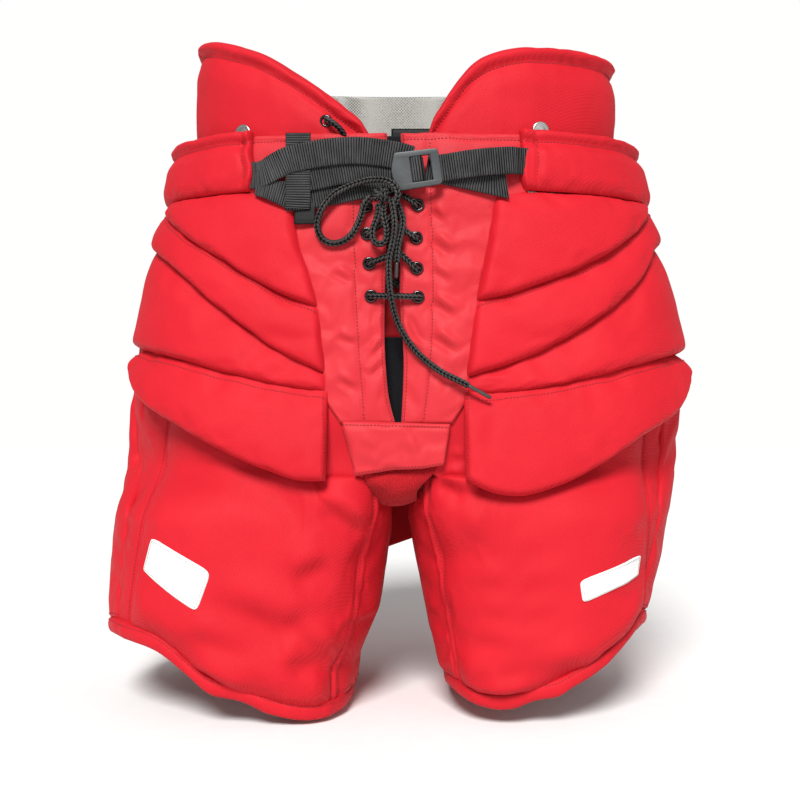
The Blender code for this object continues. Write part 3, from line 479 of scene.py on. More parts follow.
def bumps(points, scale, seed=0.0, stretch=(1, 1, 1)):
    """Smooth noise between about -1 and 1, scale in bumps a metre."""
    flat = (np.asarray(points).reshape(-1, 3) * np.array(stretch) * scale + seed).tolist()
    return np.array([noise.noise(p) for p in flat]).reshape(points.shape[:-1])


def settle(piece, body, slot, *nodes):
    """Says what a piece moves with and the CAD nodes that it stands for; slot, its material slot, is not used."""
    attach(piece, body)
    if nodes:
        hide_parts(*nodes)


class Panel:
    """A grid on a shell, with each point's normal and its distance from the grid's four edges."""

    def __init__(self, surface, size, flip=False, spacing=0.0042, ends=0.45):
        """size is about how far the panel goes along a and along b, in metres."""
        cells = [max(6, round(length / spacing)) for length in size]
        self.a, self.b = np.meshgrid(spread(cells[0], ends), spread(cells[1], ends), indexing="ij")
        self.flip = flip
        self.base = surface(self.a, self.b)
        slant = np.cross(np.gradient(self.base, axis=0), np.gradient(self.base, axis=1))
        self.normal = unit(slant) * (-1 if flip else 1)
        self.left, self.right = self.distances(0)
        self.low, self.high = self.distances(1)

    def distances(self, axis):
        steps = np.linalg.norm(np.diff(self.base, axis=axis), axis=-1)
        walked = np.cumsum(steps, axis=axis)
        zero = np.zeros_like(np.take(self.base[..., 0], [0], axis=axis))
        walked = np.concatenate([zero, walked], axis=axis)
        return walked, np.take(walked, [-1], axis=axis) - walked

    @property
    def x(self):
        return self.base[..., 0]

    @property
    def z(self):
        return self.base[..., 2]

    def track(self, edge, inset):
        """The line of points this far in from an edge."""
        distance = getattr(self, edge)
        lines = (self.base, distance) if edge in ("low", "high") else (
            self.base.swapaxes(0, 1), distance.swapaxes(0, 1))
        track = []
        for row, far in zip(*lines):
            order = np.argsort(far)
            track.append([np.interp(inset, far[order], row[order, k]) for k in range(3)])
        return np.array(track)


def walked_along(line):
    """How far along the line each of its points lies."""
    return np.concatenate([[0], np.cumsum(np.linalg.norm(np.diff(line, axis=0), axis=1))])


def quarter(distance, radius):
    """The rise of a rounded edge, 0 at the edge and 1 from radius on."""
    share = np.clip(distance / radius, 0, 1)
    return np.sqrt(np.clip(1 - (1 - share) ** 2, 0, 1))


def groove(distance, depth, width):
    return -depth * np.exp(-(distance / width) ** 2)


CREASE_FADE = 0.35  # the share of a fold over which each end fades


def crease(points, line, depth, width):
    """A soft fold along a line of (x, z) points, fading at its ends: groove below, ridge above."""
    line = np.array(line, float)
    xz = points[..., [0, 2]]
    best = np.full(xz.shape[:-1], 1e9)
    signed = np.zeros_like(best)
    place = np.zeros_like(best)
    lengths = np.linalg.norm(np.diff(line, axis=0), axis=1)
    total, walked = lengths.sum(), 0.0
    for start, end, length in zip(line, line[1:], lengths):
        way = (end - start) / length
        t = np.clip(((xz - start) @ way) / length, 0, 1)
        offset = xz - start - t[..., None] * (end - start)
        far = np.linalg.norm(offset, axis=-1)
        nearer = far < best
        best = np.where(nearer, far, best)
        signed = np.where(nearer, offset @ np.array([-way[1], way[0]]), signed)
        place = np.where(nearer, (walked + t * length) / total, place)
        walked += length
    strength = smooth_step(place, 0, CREASE_FADE) * smooth_step(1 - place, 0, CREASE_FADE)
    beyond = np.sqrt(np.maximum(best ** 2 - signed ** 2, 0))
    strength = strength * np.exp(-(beyond / width) ** 2)
    return depth * strength * (signed / width) * np.exp(0.5 - 0.5 * (signed / width) ** 2)


FREE = {}  # how free each point of a panel is in the cloth simulation


def pad(name, panel, made_of, thickness, relief=0.0, rolls=(0.008,) * 4, seat=0.55):
    """A closed, stuffed panel. rolls are the radii of its edges left, right, low, high.

    seat is where its edge lies in the thickness, 0 at the outer face. Relief stands out from the shell."""
    fill = np.ones_like(panel.a)
    for distance, radius in zip((panel.left, panel.right, panel.low, panel.high), rolls):
        fill = fill * quarter(distance, radius)
    edge = -thickness * seat
    outer = panel.base + panel.normal * (edge + (relief - edge) * fill)[..., None]
    inner = panel.base + panel.normal * (edge - thickness * (1 - seat) * fill)[..., None]
    rows, columns = panel.a.shape
    count = rows * columns
    index = np.arange(count).reshape(rows, columns)
    second = index + count
    second[[0, -1], :] = index[[0, -1], :]
    second[:, [0, -1]] = index[:, [0, -1]]
    faces = grid_faces(rows, columns, flip=panel.flip)
    back = second.reshape(-1)[np.array(grid_faces(rows, columns, flip=not panel.flip))].tolist()
    points = np.concatenate([outer.reshape(-1, 3), inner.reshape(-1, 3)])
    used, faces = np.unique(np.array(faces + back), return_inverse=True)
    piece = make(name, points[used], faces.reshape(-1, 4).tolist(), made_of)
    edges = np.zeros(count, bool)
    edges[index[[0, -1], :].ravel()] = True
    edges[index[:, [0, -1]].ravel()] = True
    FREE[name] = np.concatenate([fill.ravel() * ~edges, np.zeros(count)])[used]
    return piece


PLANS = []  # each piece and what is to be done with it, in the order of making
LATER = []  # jobs run once every mesh is final; each only returns its piece


def plan(piece, slot, body=None, bend=None, cloth=None, replaces=(), fill=None, seams=(), levels=1):
    """Notes what is done to a piece. cloth is its pressure, its growth and how far a point may move."""
    PLANS.append({"piece": piece, "slot": slot, "body": body, "bend": bend, "cloth": cloth,
                  "replaces": replaces, "fill": fill, "seams": list(seams), "levels": levels})
    return piece


# ---------------------------------------------------------------- cloth simulation
CLOTH_FRAMES = 16


def start_cloth(piece, pressure, grow):
    free = FREE[piece.name]
    pins = piece.vertex_groups.new(name="pins")
    for weight in (1.0, 0.75, 0.5, 0.25):
        held = np.nonzero(np.abs((1 - free) - weight) < 0.125 + (0.001 if weight == 1.0 else 0))[0]
        pins.add(held.tolist(), weight, "REPLACE")
    cloth = piece.modifiers.new("Stuffing", "CLOTH")
    settings = cloth.settings
    settings.quality = 4
    settings.mass = 0.2
    settings.tension_stiffness = 12
    settings.compression_stiffness = 12
    settings.shear_stiffness = 5
    settings.bending_stiffness = 0.4
    settings.tension_damping = 8
    settings.compression_damping = 8
    settings.bending_damping = 1
    settings.air_damping = 4
    settings.use_pressure = True
    settings.uniform_pressure_force = pressure
    settings.shrink_min = -grow
    settings.vertex_group_mass = "pins"
    settings.effector_weights.gravity = 0
    cloth.collision_settings.use_collision = False
    cloth.point_cache.frame_start = 1
    cloth.point_cache.frame_end = CLOTH_FRAMES


def mesh_points(mesh):
    flat = np.zeros(len(mesh.vertices) * 3, np.float32)
    mesh.vertices.foreach_get("co", flat)
    return flat.reshape(-1, 3).astype(float)


def run_cloth():
    """Runs every panel's simulation at once and keeps each result, with its movement capped."""
    stuffed = [p for p in PLANS if p["cloth"]]
    if not stuffed:
        return
    for p in stuffed:
        start_cloth(p["piece"], *p["cloth"][:2])
    scene = bpy.context.scene
    scene.frame_start, scene.frame_end = 1, CLOTH_FRAMES
    for number in range(1, CLOTH_FRAMES + 1):
        scene.frame_set(number)
    ready = bpy.context.evaluated_depsgraph_get()
    results = [mesh_points(p["piece"].evaluated_get(ready).data) for p in stuffed]
    for p, moved in zip(stuffed, results):
        piece, cap = p["piece"], p["cloth"][2]
        rest = mesh_points(piece.data)
        step = np.nan_to_num(moved - rest)
        far = np.linalg.norm(step, axis=1, keepdims=True)
        step *= np.tanh(far / cap) * cap / np.maximum(far, 1e-9)
        piece.modifiers.clear()
        piece.vertex_groups.clear()
        piece.data.vertices.foreach_set("co", (rest + step).astype(np.float32).ravel())
        piece.data.update()
    scene.frame_set(1)


def subdivide(piece, levels):
    if levels:
        modifier = piece.modifiers.new("Smooth", "SUBSURF")
        modifier.levels = modifier.render_levels = levels
        ready = bpy.context.evaluated_depsgraph_get()
        fine = bpy.data.meshes.new_from_object(piece.evaluated_get(ready))
        piece.modifiers.clear()
        piece.data = fine


# ---------------------------------------------------------------- stitches
STITCH_PITCH = 0.0033
STITCH_LENGTH = 0.0022
STITCH_RADIUS = 0.00052


def tree_of(piece):
    return BVHTree.FromPolygons([v.co for v in piece.data.vertices], [f.vertices[:] for f in piece.data.polygons])


def resampled(line, spacing):
    """Points this far apart along a line, half a step in from its ends."""
    line = np.asarray(line, float)
    walked = walked_along(line)
    stations = np.arange(spacing / 2, walked[-1], spacing)
    return np.stack([np.interp(stations, walked, line[:, k]) for k in range(3)], axis=1)


def stitches(name, lines, pieces, pitch=STITCH_PITCH, length=STITCH_LENGTH, radius=STITCH_RADIUS,
             made_of=None):
    """Thread along the lines, each stitch a short arch on the outer surface of the pieces."""
    trees = [tree_of(p) for p in pieces]
    along_shape = np.array([-0.5, -0.36, 0.0, 0.36, 0.5])
    lift = np.array([-0.0003, 0.0001, 0.00028, 0.0001, -0.0003])
    width = np.array([0.25, 0.9, 1.0, 0.9, 0.25]) * radius
    angles = np.linspace(0, 2 * math.pi, 6, endpoint=False)
    points, faces = [], []
    for line in lines:
        spots = resampled(line, pitch)
        if len(spots) < 2:
            continue
        ways = unit(np.gradient(spots, axis=0))
        for spot, way in zip(spots, ways):
            found = [t.find_nearest(Vector(spot)) for t in trees]
            hit = min((f for f in found if f[0] is not None), key=lambda f: f[3], default=None)
            if hit is None or hit[3] > 0.02:
                continue
            normal = np.array(hit[1])
            across = unit(np.cross(normal, way))
            middle = np.array(hit[0])
            start = len(points)
            for s, h, w in zip(along_shape, lift, width):
                centre = middle + way * s * length + normal * h
                for angle in angles:
                    points.append(centre + (across * math.cos(angle) + normal * math.sin(angle)) * w)
            for ring in range(4):
                for k in range(6):
                    a, b = start + ring * 6 + k, start + ring * 6 + (k + 1) % 6
                    faces.append((a, b, b + 6, a + 6))
            faces.append(tuple(start + k for k in range(5, -1, -1)))
            faces.append(tuple(start + 24 + k for k in range(6)))
    # the default thread's darker red is painted shade of the needle holes
    return make(name, np.array(points), faces, made_of or RED_THREAD_PAINTED_SHADE) if points else None


def finish_pieces():
    """After the simulation: subdivides and sews each piece, and hangs it on its body, or, if it has a bend, only
    bakes its transform.
    """
    for p in PLANS:
        subdivide(p["piece"], p["levels"])
    for p in list(PLANS):
        piece = p["piece"]
        thread = None
        if p["seams"]:
            thread = stitches(f"{piece.name}_thread", p["seams"], [piece])
        for thing in filter(None, (piece, thread)):
            if p["bend"]:
                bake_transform(thing)
            else:
                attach(thing, p["body"])
        if p["replaces"]:
            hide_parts(*p["replaces"])


# ---------------------------------------------------------------- belt and kidney girdle
SLIM = {"left": 0.008, "right": 0.006}  # the stuffed pieces bulge by about this much at the sides
WING_LOW = 0.548
KIDNEY_LOW = 0.553
BORDER_SEAM = 0.0165  # below the rolled border of the wings, kidney pads and spine pad
UPRIGHT_SEAM = 0.055  # in from the kidney and spine pads' ends


def wing(side):
    """A kidney wing with a rolled border along its top; the cover is left in place and does not fold with the wing.
    """
    top = WING_TOP[side]
    start, low = top[0][0], WING_LOW

    def surface(a, b):
        u = start + (WING_END + 0.012 - start) * a
        slim = SLIM[side] * smooth_step(u, 0.15, 0.40)
        return girdle(side, u, low + (along(top, u) - low) * b, -slim)

    panel = Panel(surface, (0.20, 0.10), flip=MIRRORED[side])
    border = panel.high
    pucker = np.exp(-((border - 0.021) / 0.008) ** 2) * bumps(panel.base, 130, 4.7, (1, 1, 0.4))
    relief = (0.0050 * quarter(border, 0.008) * (1 - smooth_step(border, 0.009, 0.0160))
              + groove(border - BORDER_SEAM, 0.0040, 0.0024)
              + 0.0042 * smooth_step(border, 0.017, 0.040) + 0.0012 * pucker
              + 0.0024 * bumps(panel.base, 20, 3.1) + 0.0010 * bumps(panel.base, 60, 9.2, (1, 1, 0.5)))
    piece = pad(f"wing_cover_{side}", panel, RED, 0.012, relief, rolls=(0.006, 0.004, 0.003, 0.0085), seat=0.5)
    pivot = (SIDES[side] * 0.15, -0.10)
    plan(piece, "red_shell", bend=(f"wing_{side}", (*pivot, 0.560), (*pivot, 0.590)),
         cloth=(1.6, 0.012, 0.004), replaces=[f"kidney_wing_{side}"], fill=0.5,
         seams=[panel.track("high", BORDER_SEAM)])


def kidney(side):
    """The fixed kidney pad beside the spine pad, under the same rolled border."""
    low = KIDNEY_LOW
    wing_top = WING_TOP[side][-1][1]

    def surface(a, b):
        u = KIDNEY_START - 0.012 + (KIDNEY_END + 0.023 - KIDNEY_START) * a
        top = wing_top + (SPINE_TOP - 0.003 - wing_top) * smooth_step(a, 0.0, 0.9)
        return girdle(side, u, low + (top - low) * b, -SLIM[side] * (1 - smooth_step(u, 0.55, 0.75)))

    panel = Panel(surface, (0.20, 0.10), flip=MIRRORED[side])
    border = panel.high
    relief = (0.0050 * quarter(border, 0.008) * (1 - smooth_step(border, 0.009, 0.0160))
              + groove(border - BORDER_SEAM, 0.0040, 0.0024) + groove(panel.right - UPRIGHT_SEAM, 0.005, 0.005)
              + 0.0035 * smooth_step(border, 0.018, 0.045) + 0.0015 * bumps(panel.base, 24, 5.7))
    piece = pad(f"kidney_{side}", panel, RED, 0.012, relief, rolls=(0.005, 0.006, 0.003, 0.0085), seat=0.5)
    plan(piece, "red_shell", body="girdle", cloth=(1.6, 0.012, 0.004),
         replaces=[f"kidney_pad_{side}"], fill=0.5,
         seams=[panel.track("high", BORDER_SEAM), panel.track("right", UPRIGHT_SEAM)])


def around_back(start, shell=girdle):
    """Maps 0..1 from the left side's start, round the back of a shell, to the right side's."""
    def surface(a, z, out=0.0):
        left = shell("left", start + (1 - start) * 2 * a, z, out)
        right = shell("right", start + (1 - start) * 2 * (1 - a), z, out)
        return np.where((a < 0.5)[..., None], left, right)
    return surface


def spine():
    """The spine pad at the middle of the back, between two upright seams."""
    around = around_back(SPINE_START - 0.012)
    low, top = KIDNEY_LOW, SPINE_TOP - 0.003
    panel = Panel(lambda a, b: around(a, low + (top - low) * b), (0.18, 0.10), flip=True)
    relief = (0.0045 * quarter(panel.high, 0.008) * (1 - smooth_step(panel.high, 0.010, 0.0165))
              + groove(panel.high - BORDER_SEAM, 0.0022, 0.0028) + 0.006 * smooth_step(panel.high, 0.018, 0.045)
              + groove(panel.left - UPRIGHT_SEAM, 0.004, 0.005)
              + groove(panel.right - UPRIGHT_SEAM, 0.004, 0.005))
    piece = pad("spine", panel, RED, 0.012, relief, rolls=(0.006, 0.006, 0.003, 0.0085), seat=0.5)
    plan(piece, "red_shell", body="girdle", cloth=(1.8, 0.01, 0.005),
         replaces=["spine_pad"], fill=0.6,
         seams=[panel.track("high", BORDER_SEAM), panel.track("left", UPRIGHT_SEAM),
                panel.track("right", UPRIGHT_SEAM)])


def liner():
    """Grey spacer mesh inside the back of the girdle, a little over the top of the spine pad."""
    around = around_back(0.56)
    low, top = 0.42, 0.6575
    panel = Panel(lambda a, b: around(a, low + (top - low) * b, -0.0125), (0.40, 0.25), flip=True, ends=0.2)
    ripple = 0.0012 * bumps(panel.base, 28, 1.3, (1, 1, 0.4))
    piece = pad("mesh_liner", panel, GREY_MESH, 0.0035, ripple, rolls=(0.002,) * 4)
    plan(piece, "grey_mesh", body="girdle", replaces=["back_liner"])
    LATER.append(lambda: piece)


def inner_band():
    """The inner waistband: a thin stitched band nearly all the way round."""
    def surface(a, b):
        around = around_back(0.06)
        return around(a, 0.508 + 0.0525 * b, -0.004)

    panel = Panel(surface, (0.95, 0.055), flip=True, ends=0.1)
    relief = 0.001 * bumps(panel.base, 30, 4.0)
    piece = pad("inner_band", panel, RED, 0.007, relief, rolls=(0.004,) * 4)
    plan(piece, "red_shell", body="girdle", replaces=["inner_waistband"], fill=0.4,
         seams=[panel.track("high", 0.006), panel.track("low", 0.006)])


def belt(side):
    """Padded belt: a rolled top edge over a crowned band, with an open webbing tunnel at its front end."""
    tunnel = {"left": 0.011, "right": 0.0165}[side]

    def surface(a, b):
        z = BELT_LOW + (BELT_HIGH - BELT_LOW) * b
        start = along(BELT_MOUTH[side], z)
        u = start + (1 - start) * a
        return hip(side, u, z, -0.005 * smooth_step(u, 0.22, 0.40))

    panel = Panel(surface, (0.50, 0.062), flip=MIRRORED[side], spacing=0.0036, ends=0.2)
    top, mouth = panel.high, panel.left
    pucker = np.exp(-((mouth - tunnel) / 0.012) ** 2) * bumps(panel.base, 95, 8.1, (0.4, 0.4, 1))
    relief = (0.0040 * (1 - smooth_step(top, 0.008, 0.0140)) + groove(top - 0.0145, 0.0042, 0.0020)
              + 0.0042 * smooth_step(top, 0.016, 0.028) * smooth_step(panel.low, 0.0, 0.014)
              + groove(mouth - tunnel, 0.0036, 0.0020) * smooth_step(panel.low, 0.002, 0.010)
              + 0.0040 * np.exp(-(mouth / 0.006) ** 2) + 0.0016 * pucker
              + 0.0018 * bumps(panel.base, 24, 6.3) + 0.0008 * bumps(panel.base, 80, 2.2))
    piece = pad(f"belt_{side}", panel, RED, 0.010, relief, rolls=(0.0026, 0.002, 0.006, 0.007), seat=0.5)
    plan(piece, "red_shell", body="girdle", cloth=(1.3, 0.012, 0.003),
         replaces=[f"waistband_{side}"], fill=0.5,
         seams=[panel.track("high", 0.0145), panel.track("left", tunnel)[4:-3]])


# ---------------------------------------------------------------- hip pads and flaps
FLAP_FOLDS = {
    "left": [(((-0.1640, 0.3650), (-0.1500, 0.3350)), 0.0012, 0.006)],
    "right": [(((0.0800, 0.3050), (0.0720, 0.2550)), -0.0012, 0.008)],
}


def shingle(name, side, start, end, low, high, size, top_drop, proud, thickness=PAD_THICKNESS, out=None,
            rolls=(0.007, 0.007, 0.008, 0.005), seat=0.62, folds=(), **rest):
    """A hip pad: thin and stitched at its top seam, full and rounded at its lower edge."""
    def surface(a, b):
        u = start(0.4 + 0 * a) + (end - start(0.4 + 0 * a)) * a
        z = low(u) + (high(u) - low(u)) * b
        for _ in range(3):
            first = start(z)
            u = first + (end - first) * a
            z = low(u) + (high(u) - low(u)) * b
        return hip(side, u, z, (out(b) if out else 0.0) - 0.004 * smooth_step(u, 0.25, 0.42))

    panel = Panel(surface, size, flip=MIRRORED[side])
    rise = 1 - np.exp(-panel.high / 0.022)
    swell = smooth_step(panel.low, 0.045, 0.008) * smooth_step(panel.left, 0.0, 0.02)
    tug = np.exp(-panel.high / 0.016) + np.exp(-panel.left / 0.012)
    relief = (-top_drop + (top_drop + proud) * rise + 0.0020 * swell
              + 0.0017 * bumps(panel.base, 15, 2.0 + proud * 900)
              + (0.0005 + 0.0012 * tug) * bumps(panel.base, 62, 7.0, (0.55, 0.55, 1)))
    for line, depth, width in folds:
        relief = relief + crease(panel.base, line, depth, width)
    piece = pad(name, panel, RED, thickness, relief, rolls=rolls, seat=seat)
    plan(piece, "red_pad", cloth=(1.8, 0.010, 0.0035), fill=0.7,
         seams=rest.pop("seams")(panel), **rest)


def hip_pads(side):
    """Three overlapping hip pads and the flap below them."""
    def edge(z):
        return along(PAD_EDGE[side], z)

    def upper(u):
        return along(UPPER_SEAM[side], u)

    def middle(u):
        return along(MIDDLE_SEAM[side], u)

    def lower(u):
        return along(FLAP_SEAM[side], u)

    top = BELT_LOW + 0.002
    shingle(f"hip_pad_a_{side}", side, edge, PAD_A_END[side] + 0.015,
            lambda u: np.minimum(upper(u) - 0.001, top - 0.006), lambda u: top, (0.16, 0.10), 0.004, 0.0050,
            rolls=(0.010, 0.006, 0.0085, 0.003), body="girdle", replaces=[f"hip_pad_upper_{side}"],
            seams=lambda panel: [])
    shingle(f"hip_pad_b_{side}", side, edge, HIP_PAD_END + 0.02,
            lambda u: middle(u) - 0.001, lambda u: np.minimum(upper(u) + 0.006, top), (0.26, 0.075), 0.0080,
            0.0040, rolls=(0.008, 0.006, 0.0090, 0.003), seat=0.70, body="girdle",
            replaces=[f"hip_pad_middle_{side}"], seams=lambda panel: [panel.track("high", 0.0105)])
    shingle(f"hip_pad_c_{side}", side, edge, HIP_PAD_END + 0.02,
            lambda u: lower(u) - 0.001, lambda u: middle(u) + 0.006, (0.26, 0.085), 0.0095, 0.0040,
            rolls=(0.008, 0.006, 0.0090, 0.003), seat=0.70, body="girdle",
            replaces=[f"hip_pad_lower_{side}"], seams=lambda panel: [])
    shingle(f"flap_cover_{side}", side, edge, FLAP_END[side] + 0.004,
            lambda u: along(FLAP_HEM[side], u), lambda u: lower(u) + 0.004, (0.22, 0.09), 0.0070, 0.0020,
            thickness=FLAP_THICKNESS + 0.002, out=lambda b: FLAP_FLARE * (1 - b) + 0.001,
            rolls=(0.0035, 0.010, 0.008, 0.003), seat=0.6, body=f"flap_{side}", folds=FLAP_FOLDS[side],
            replaces=[f"hip_flap_{side}"],
            seams=lambda panel: [panel.track("high", 0.0085), panel.track("left", 0.0042)])


def seat(side):
    """The seat pad behind a hip: two cushions with a seam between them."""
    def surface(a, b):
        u = SEAT_START - 0.018 + (SEAT_END + 0.013 - SEAT_START + 0.018) * a
        return hip(side, u, SEAT_LOW - 0.003 + (BELT_LOW + 0.003 - SEAT_LOW) * b)

    panel = Panel(surface, (0.15, 0.20), flip=MIRRORED[side])
    seam = np.interp(panel.a, (0, 1), (0.425, 0.400))
    relief = (SEAT_STAND * np.sin(math.pi * np.clip(panel.b, 0, 1)) ** 0.5 + 0.002
              + groove(panel.z - seam, 0.009, 0.007) + 0.0012 * bumps(panel.base, 20, 8.8))
    piece = pad(f"seat_{side}", panel, RED, PAD_THICKNESS, relief, rolls=(0.012, 0.010, 0.012, 0.004), seat=0.6)
    line = surface(np.linspace(0.04, 0.96, 60), np.interp(np.linspace(0.04, 0.96, 60), (0, 1), (0.593, 0.47)))
    plan(piece, "red_pad", body="girdle", cloth=(2.6, 0.015, 0.006),
         replaces=[f"seat_pad_{side}"], fill=0.7, seams=[line + [0, 0.006, 0]])


def tailbone():
    """The tailbone cushion, quilted across at three heights."""
    around = around_back(TAIL_START - 0.010, hip)

    def surface(a, b):
        return around(a, TAIL_LOW - 0.003 + (BELT_LOW + 0.003 - TAIL_LOW) * b)

    panel = Panel(surface, (0.14, 0.23), flip=True)
    relief = SEAT_STAND * np.sin(math.pi * panel.b) ** 0.5 + 0.003
    for level in TAIL_QUILTING:
        relief = relief + groove(panel.z - level, 0.006, 0.005)
    piece = pad("tailbone", panel, RED, PAD_THICKNESS, relief, rolls=(0.012, 0.012, 0.012, 0.004), seat=0.6)
    lines = [surface(np.linspace(0.05, 0.95, 50),
                     np.full(50, (level - TAIL_LOW + 0.003) / (BELT_LOW + 0.006 - TAIL_LOW))) + [0, 0.008, 0]
             for level in TAIL_QUILTING]
    plan(piece, "red_pad", body="girdle", cloth=(2.6, 0.012, 0.005),
         replaces=["tailbone_pad"], fill=0.7, seams=lines)


def seat_lining():
    """Red lining behind the seat and tailbone cushions."""
    around = around_back(SEAT_START + 0.02, hip)
    low, high = 0.318, 0.520
    panel = Panel(lambda a, b: around(a, low + (high - low) * b, -0.0135), (0.40, 0.20), flip=True, spacing=0.006,
                  ends=0.2)
    piece = pad("seat_lining", panel, RED, 0.003, 0.0008 * bumps(panel.base, 26, 1.8),
                rolls=(0.0015,) * 4)
    plan(piece, "red_shell", body="girdle", fill=0.2, levels=0)


# ---------------------------------------------------------------- fly, crotch and gusset
FLY_CREASES = {
    "left": [(((-0.0640, 0.4300), (-0.0430, 0.4180)), 0.0014, 0.004),
             (((-0.0600, 0.3700), (-0.0400, 0.3600)), 0.0012, 0.004),
             (((-0.0280, 0.3480), (-0.0160, 0.3640)), 0.0014, 0.0035),
             (((-0.0300, 0.3300), (-0.0150, 0.3450)), 0.0012, 0.0035),
             (((-0.0600, 0.3300), (-0.0380, 0.3180)), 0.0012, 0.004),
             (((-0.0520, 0.4620), (-0.0340, 0.4560)), 0.0012, 0.004)],
    "right": [(((0.0285, 0.4890), (0.0440, 0.4760)), 0.0016, 0.004),
              (((0.0285, 0.4620), (0.0520, 0.4440)), 0.0018, 0.005),
              (((0.0290, 0.4320), (0.0500, 0.4190)), 0.0014, 0.004),
              (((0.0285, 0.4040), (0.0540, 0.3860)), 0.0020, 0.005),
              (((0.0285, 0.3720), (0.0560, 0.3520)), 0.0020, 0.005),
              (((0.0040, 0.3890), (0.0130, 0.3660), (0.0250, 0.3540)), -0.0016, 0.004),
              (((0.0290, 0.3360), (0.0500, 0.3220)), 0.0014, 0.004)],
}
FLY_RIDGE = {"left": ((0.285, -0.0330), (0.380, -0.0400), (0.562, -0.0460)),
             "right": ((0.285, 0.0215), (0.330, 0.0270), (0.562, 0.0283))}


def fly_edge(side, z):
    """The fly's outer edge, hidden under the hip pad and, higher up, under the belt's end."""
    under_pad = np.abs(hip(side, along(PAD_EDGE[side], z) + 0.010, z, -FLY_INSET)[..., 0])
    under_belt = np.abs(hip(side, BELT_START[side] + 0.020, z, -FLY_INSET)[..., 0])
    lowest = {"left": 0.0545, "right": 0.0475}[side]
    wide = under_pad + (under_belt - under_pad) * smooth_step(z, 0.487, 0.508)
    return SIDES[side] * (lowest + (wide - lowest) * smooth_step(z, FLY_LOW - 0.01, FLY_LOW + 0.03))


def fly(side):
    """One half of the fly, flat round its eyelets, with a ridge beside them and pulled folds."""
    def surface(a, b):
        z = FLY_LOW - 0.001 + (FLY_TOP - FLY_LOW + 0.001) * b
        inner = slit_edge(side, z)
        return front(inner + (fly_edge(side, z) - inner) * a ** 0.9, z, -FLY_INSET)

    panel = Panel(surface, (0.085, 0.28), flip=MIRRORED[side], spacing=0.0030, ends=0.15)
    z, x = panel.z, panel.x
    ridge = along(FLY_RIDGE[side], z)
    beyond = (x - ridge) * SIDES[side]
    relief = (groove(panel.high - 0.0085, 0.0014, 0.0016) + groove(panel.left - 0.0032, 0.0009, 0.0012)
              + groove(beyond, 0.0013, 0.0014) + 0.0016 * smooth_step(beyond, 0.0, 0.012)
              + 0.0009 * bumps(panel.base, 40, 3.3) + 0.0005 * bumps(panel.base, 110, 1.1, (1, 1, 0.6)))
    for line, depth, width in FLY_CREASES[side]:
        relief = relief + crease(panel.base, line, depth * 1.9, width * 0.85)
    dent = np.zeros_like(z)
    for ex, ez in zip(EYELET_X[side], EYELETS[side]):
        dent = dent + groove(np.hypot(x - ex, z - ez), 1.0, 0.0095)
    relief = relief * (1 + dent) + 0.0012 * dent
    piece = pad(f"fly_{side}", panel, RED_FLY, FLY_THICKNESS, relief, rolls=(0.0028, 0.004, 0.003, 0.003),
                seat=0.45)
    held = mesh_points(piece.data)
    near = np.min([np.hypot(held[:, 0] - ex, held[:, 2] - ez) for ex, ez in zip(EYELET_X[side], EYELETS[side])],
                  axis=0)
    FREE[piece.name] = FREE[piece.name] * (near > 0.008)
    heights = np.linspace(FLY_LOW + 0.004, 0.553, 90)
    lines = [panel.track("high", 0.0085), panel.track("left", 0.0034),
             front(along(FLY_RIDGE[side], heights), heights, -FLY_INSET)]
    plan(piece, "red_shell", body="girdle", cloth=(0.7, 0.016, 0.0024),
         replaces=[f"fly_panel_{side}"], fill=0.3, seams=lines)


def tongue():
    """Brushed black lining behind the slit; its upper part is dark red."""
    inset = FLY_INSET + FLY_THICKNESS + 0.016
    for name, low, high, made_of in (("slit_lining", 0.3665, 0.507, RED_LINING),
                                     ("slit_facing", 0.253, 0.368, BLACK_BRUSHED),
                                     ("slit_backing", 0.5035, 0.5640, BLACK_BRUSHED)):
        deep = inset + (0.001 if name == "slit_lining" else 0.0)
        panel = Panel(lambda a, b: front(-0.006 + 0.0155 * (2 * a - 1), low + (high - low) * b, -deep),
                      (0.031, high - low), spacing=0.003, ends=0.1)
        relief = 0.0012 * bumps(panel.base, 45, 2.7) - 0.002 * (2 * panel.a - 1) ** 2
        piece = pad(name, panel, made_of, 0.003, relief, rolls=(0.002,) * 4)
        plan(piece, "black_fabric", body="girdle", replaces=["fly_tongue"] if name == "slit_facing" else ())
        size = (0.031, high - low)
        LATER.append(lambda piece=piece, size=size: piece)


def crotch():
    """The crotch panel across the bottom of the fly."""
    def surface(a, b):
        low = CROTCH_LOW + np.interp(a, (0, 0.15, 0.45, 0.75, 1), (-0.0078, -0.0055, -0.0017, -0.0005, 0.0029))
        z = low + (FLY_LOW + 0.0035 - 0.003 * a - low) * b
        edges = [np.interp(z, [row[0] for row in CROTCH_EDGES], [row[k] for row in CROTCH_EDGES]) for k in (1, 2)]
        return front(edges[0] - 0.001 + (edges[1] - edges[0] + 0.002) * a, z, -FLY_INSET + 0.0040)

    panel = Panel(surface, (0.10, 0.045), spacing=0.0028, ends=0.3)
    relief = (groove(panel.high - 0.0042, 0.0012, 0.0014) + 0.0008 * bumps(panel.base, 60, 4.4)
              + crease(panel.base, ((-0.040, 0.268), (-0.018, 0.262)), 0.0012, 0.004)
              + crease(panel.base, ((0.002, 0.270), (0.014, 0.256)), 0.0016, 0.005)
              + crease(panel.base, ((-0.030, 0.254), (-0.022, 0.244)), 0.0012, 0.004)
              + groove(panel.low - 0.003, 0.0008, 0.0012))
    piece = pad("crotch", panel, RED_FLY, FLY_THICKNESS, relief, rolls=(0.0018, 0.0018, 0.002, 0.002), seat=0.45)
    plan(piece, "red_shell", body="girdle", cloth=(0.6, 0.02, 0.002),
         replaces=["crotch_panel"], fill=0.3, seams=[panel.track("high", 0.0042), panel.track("low", 0.003)])


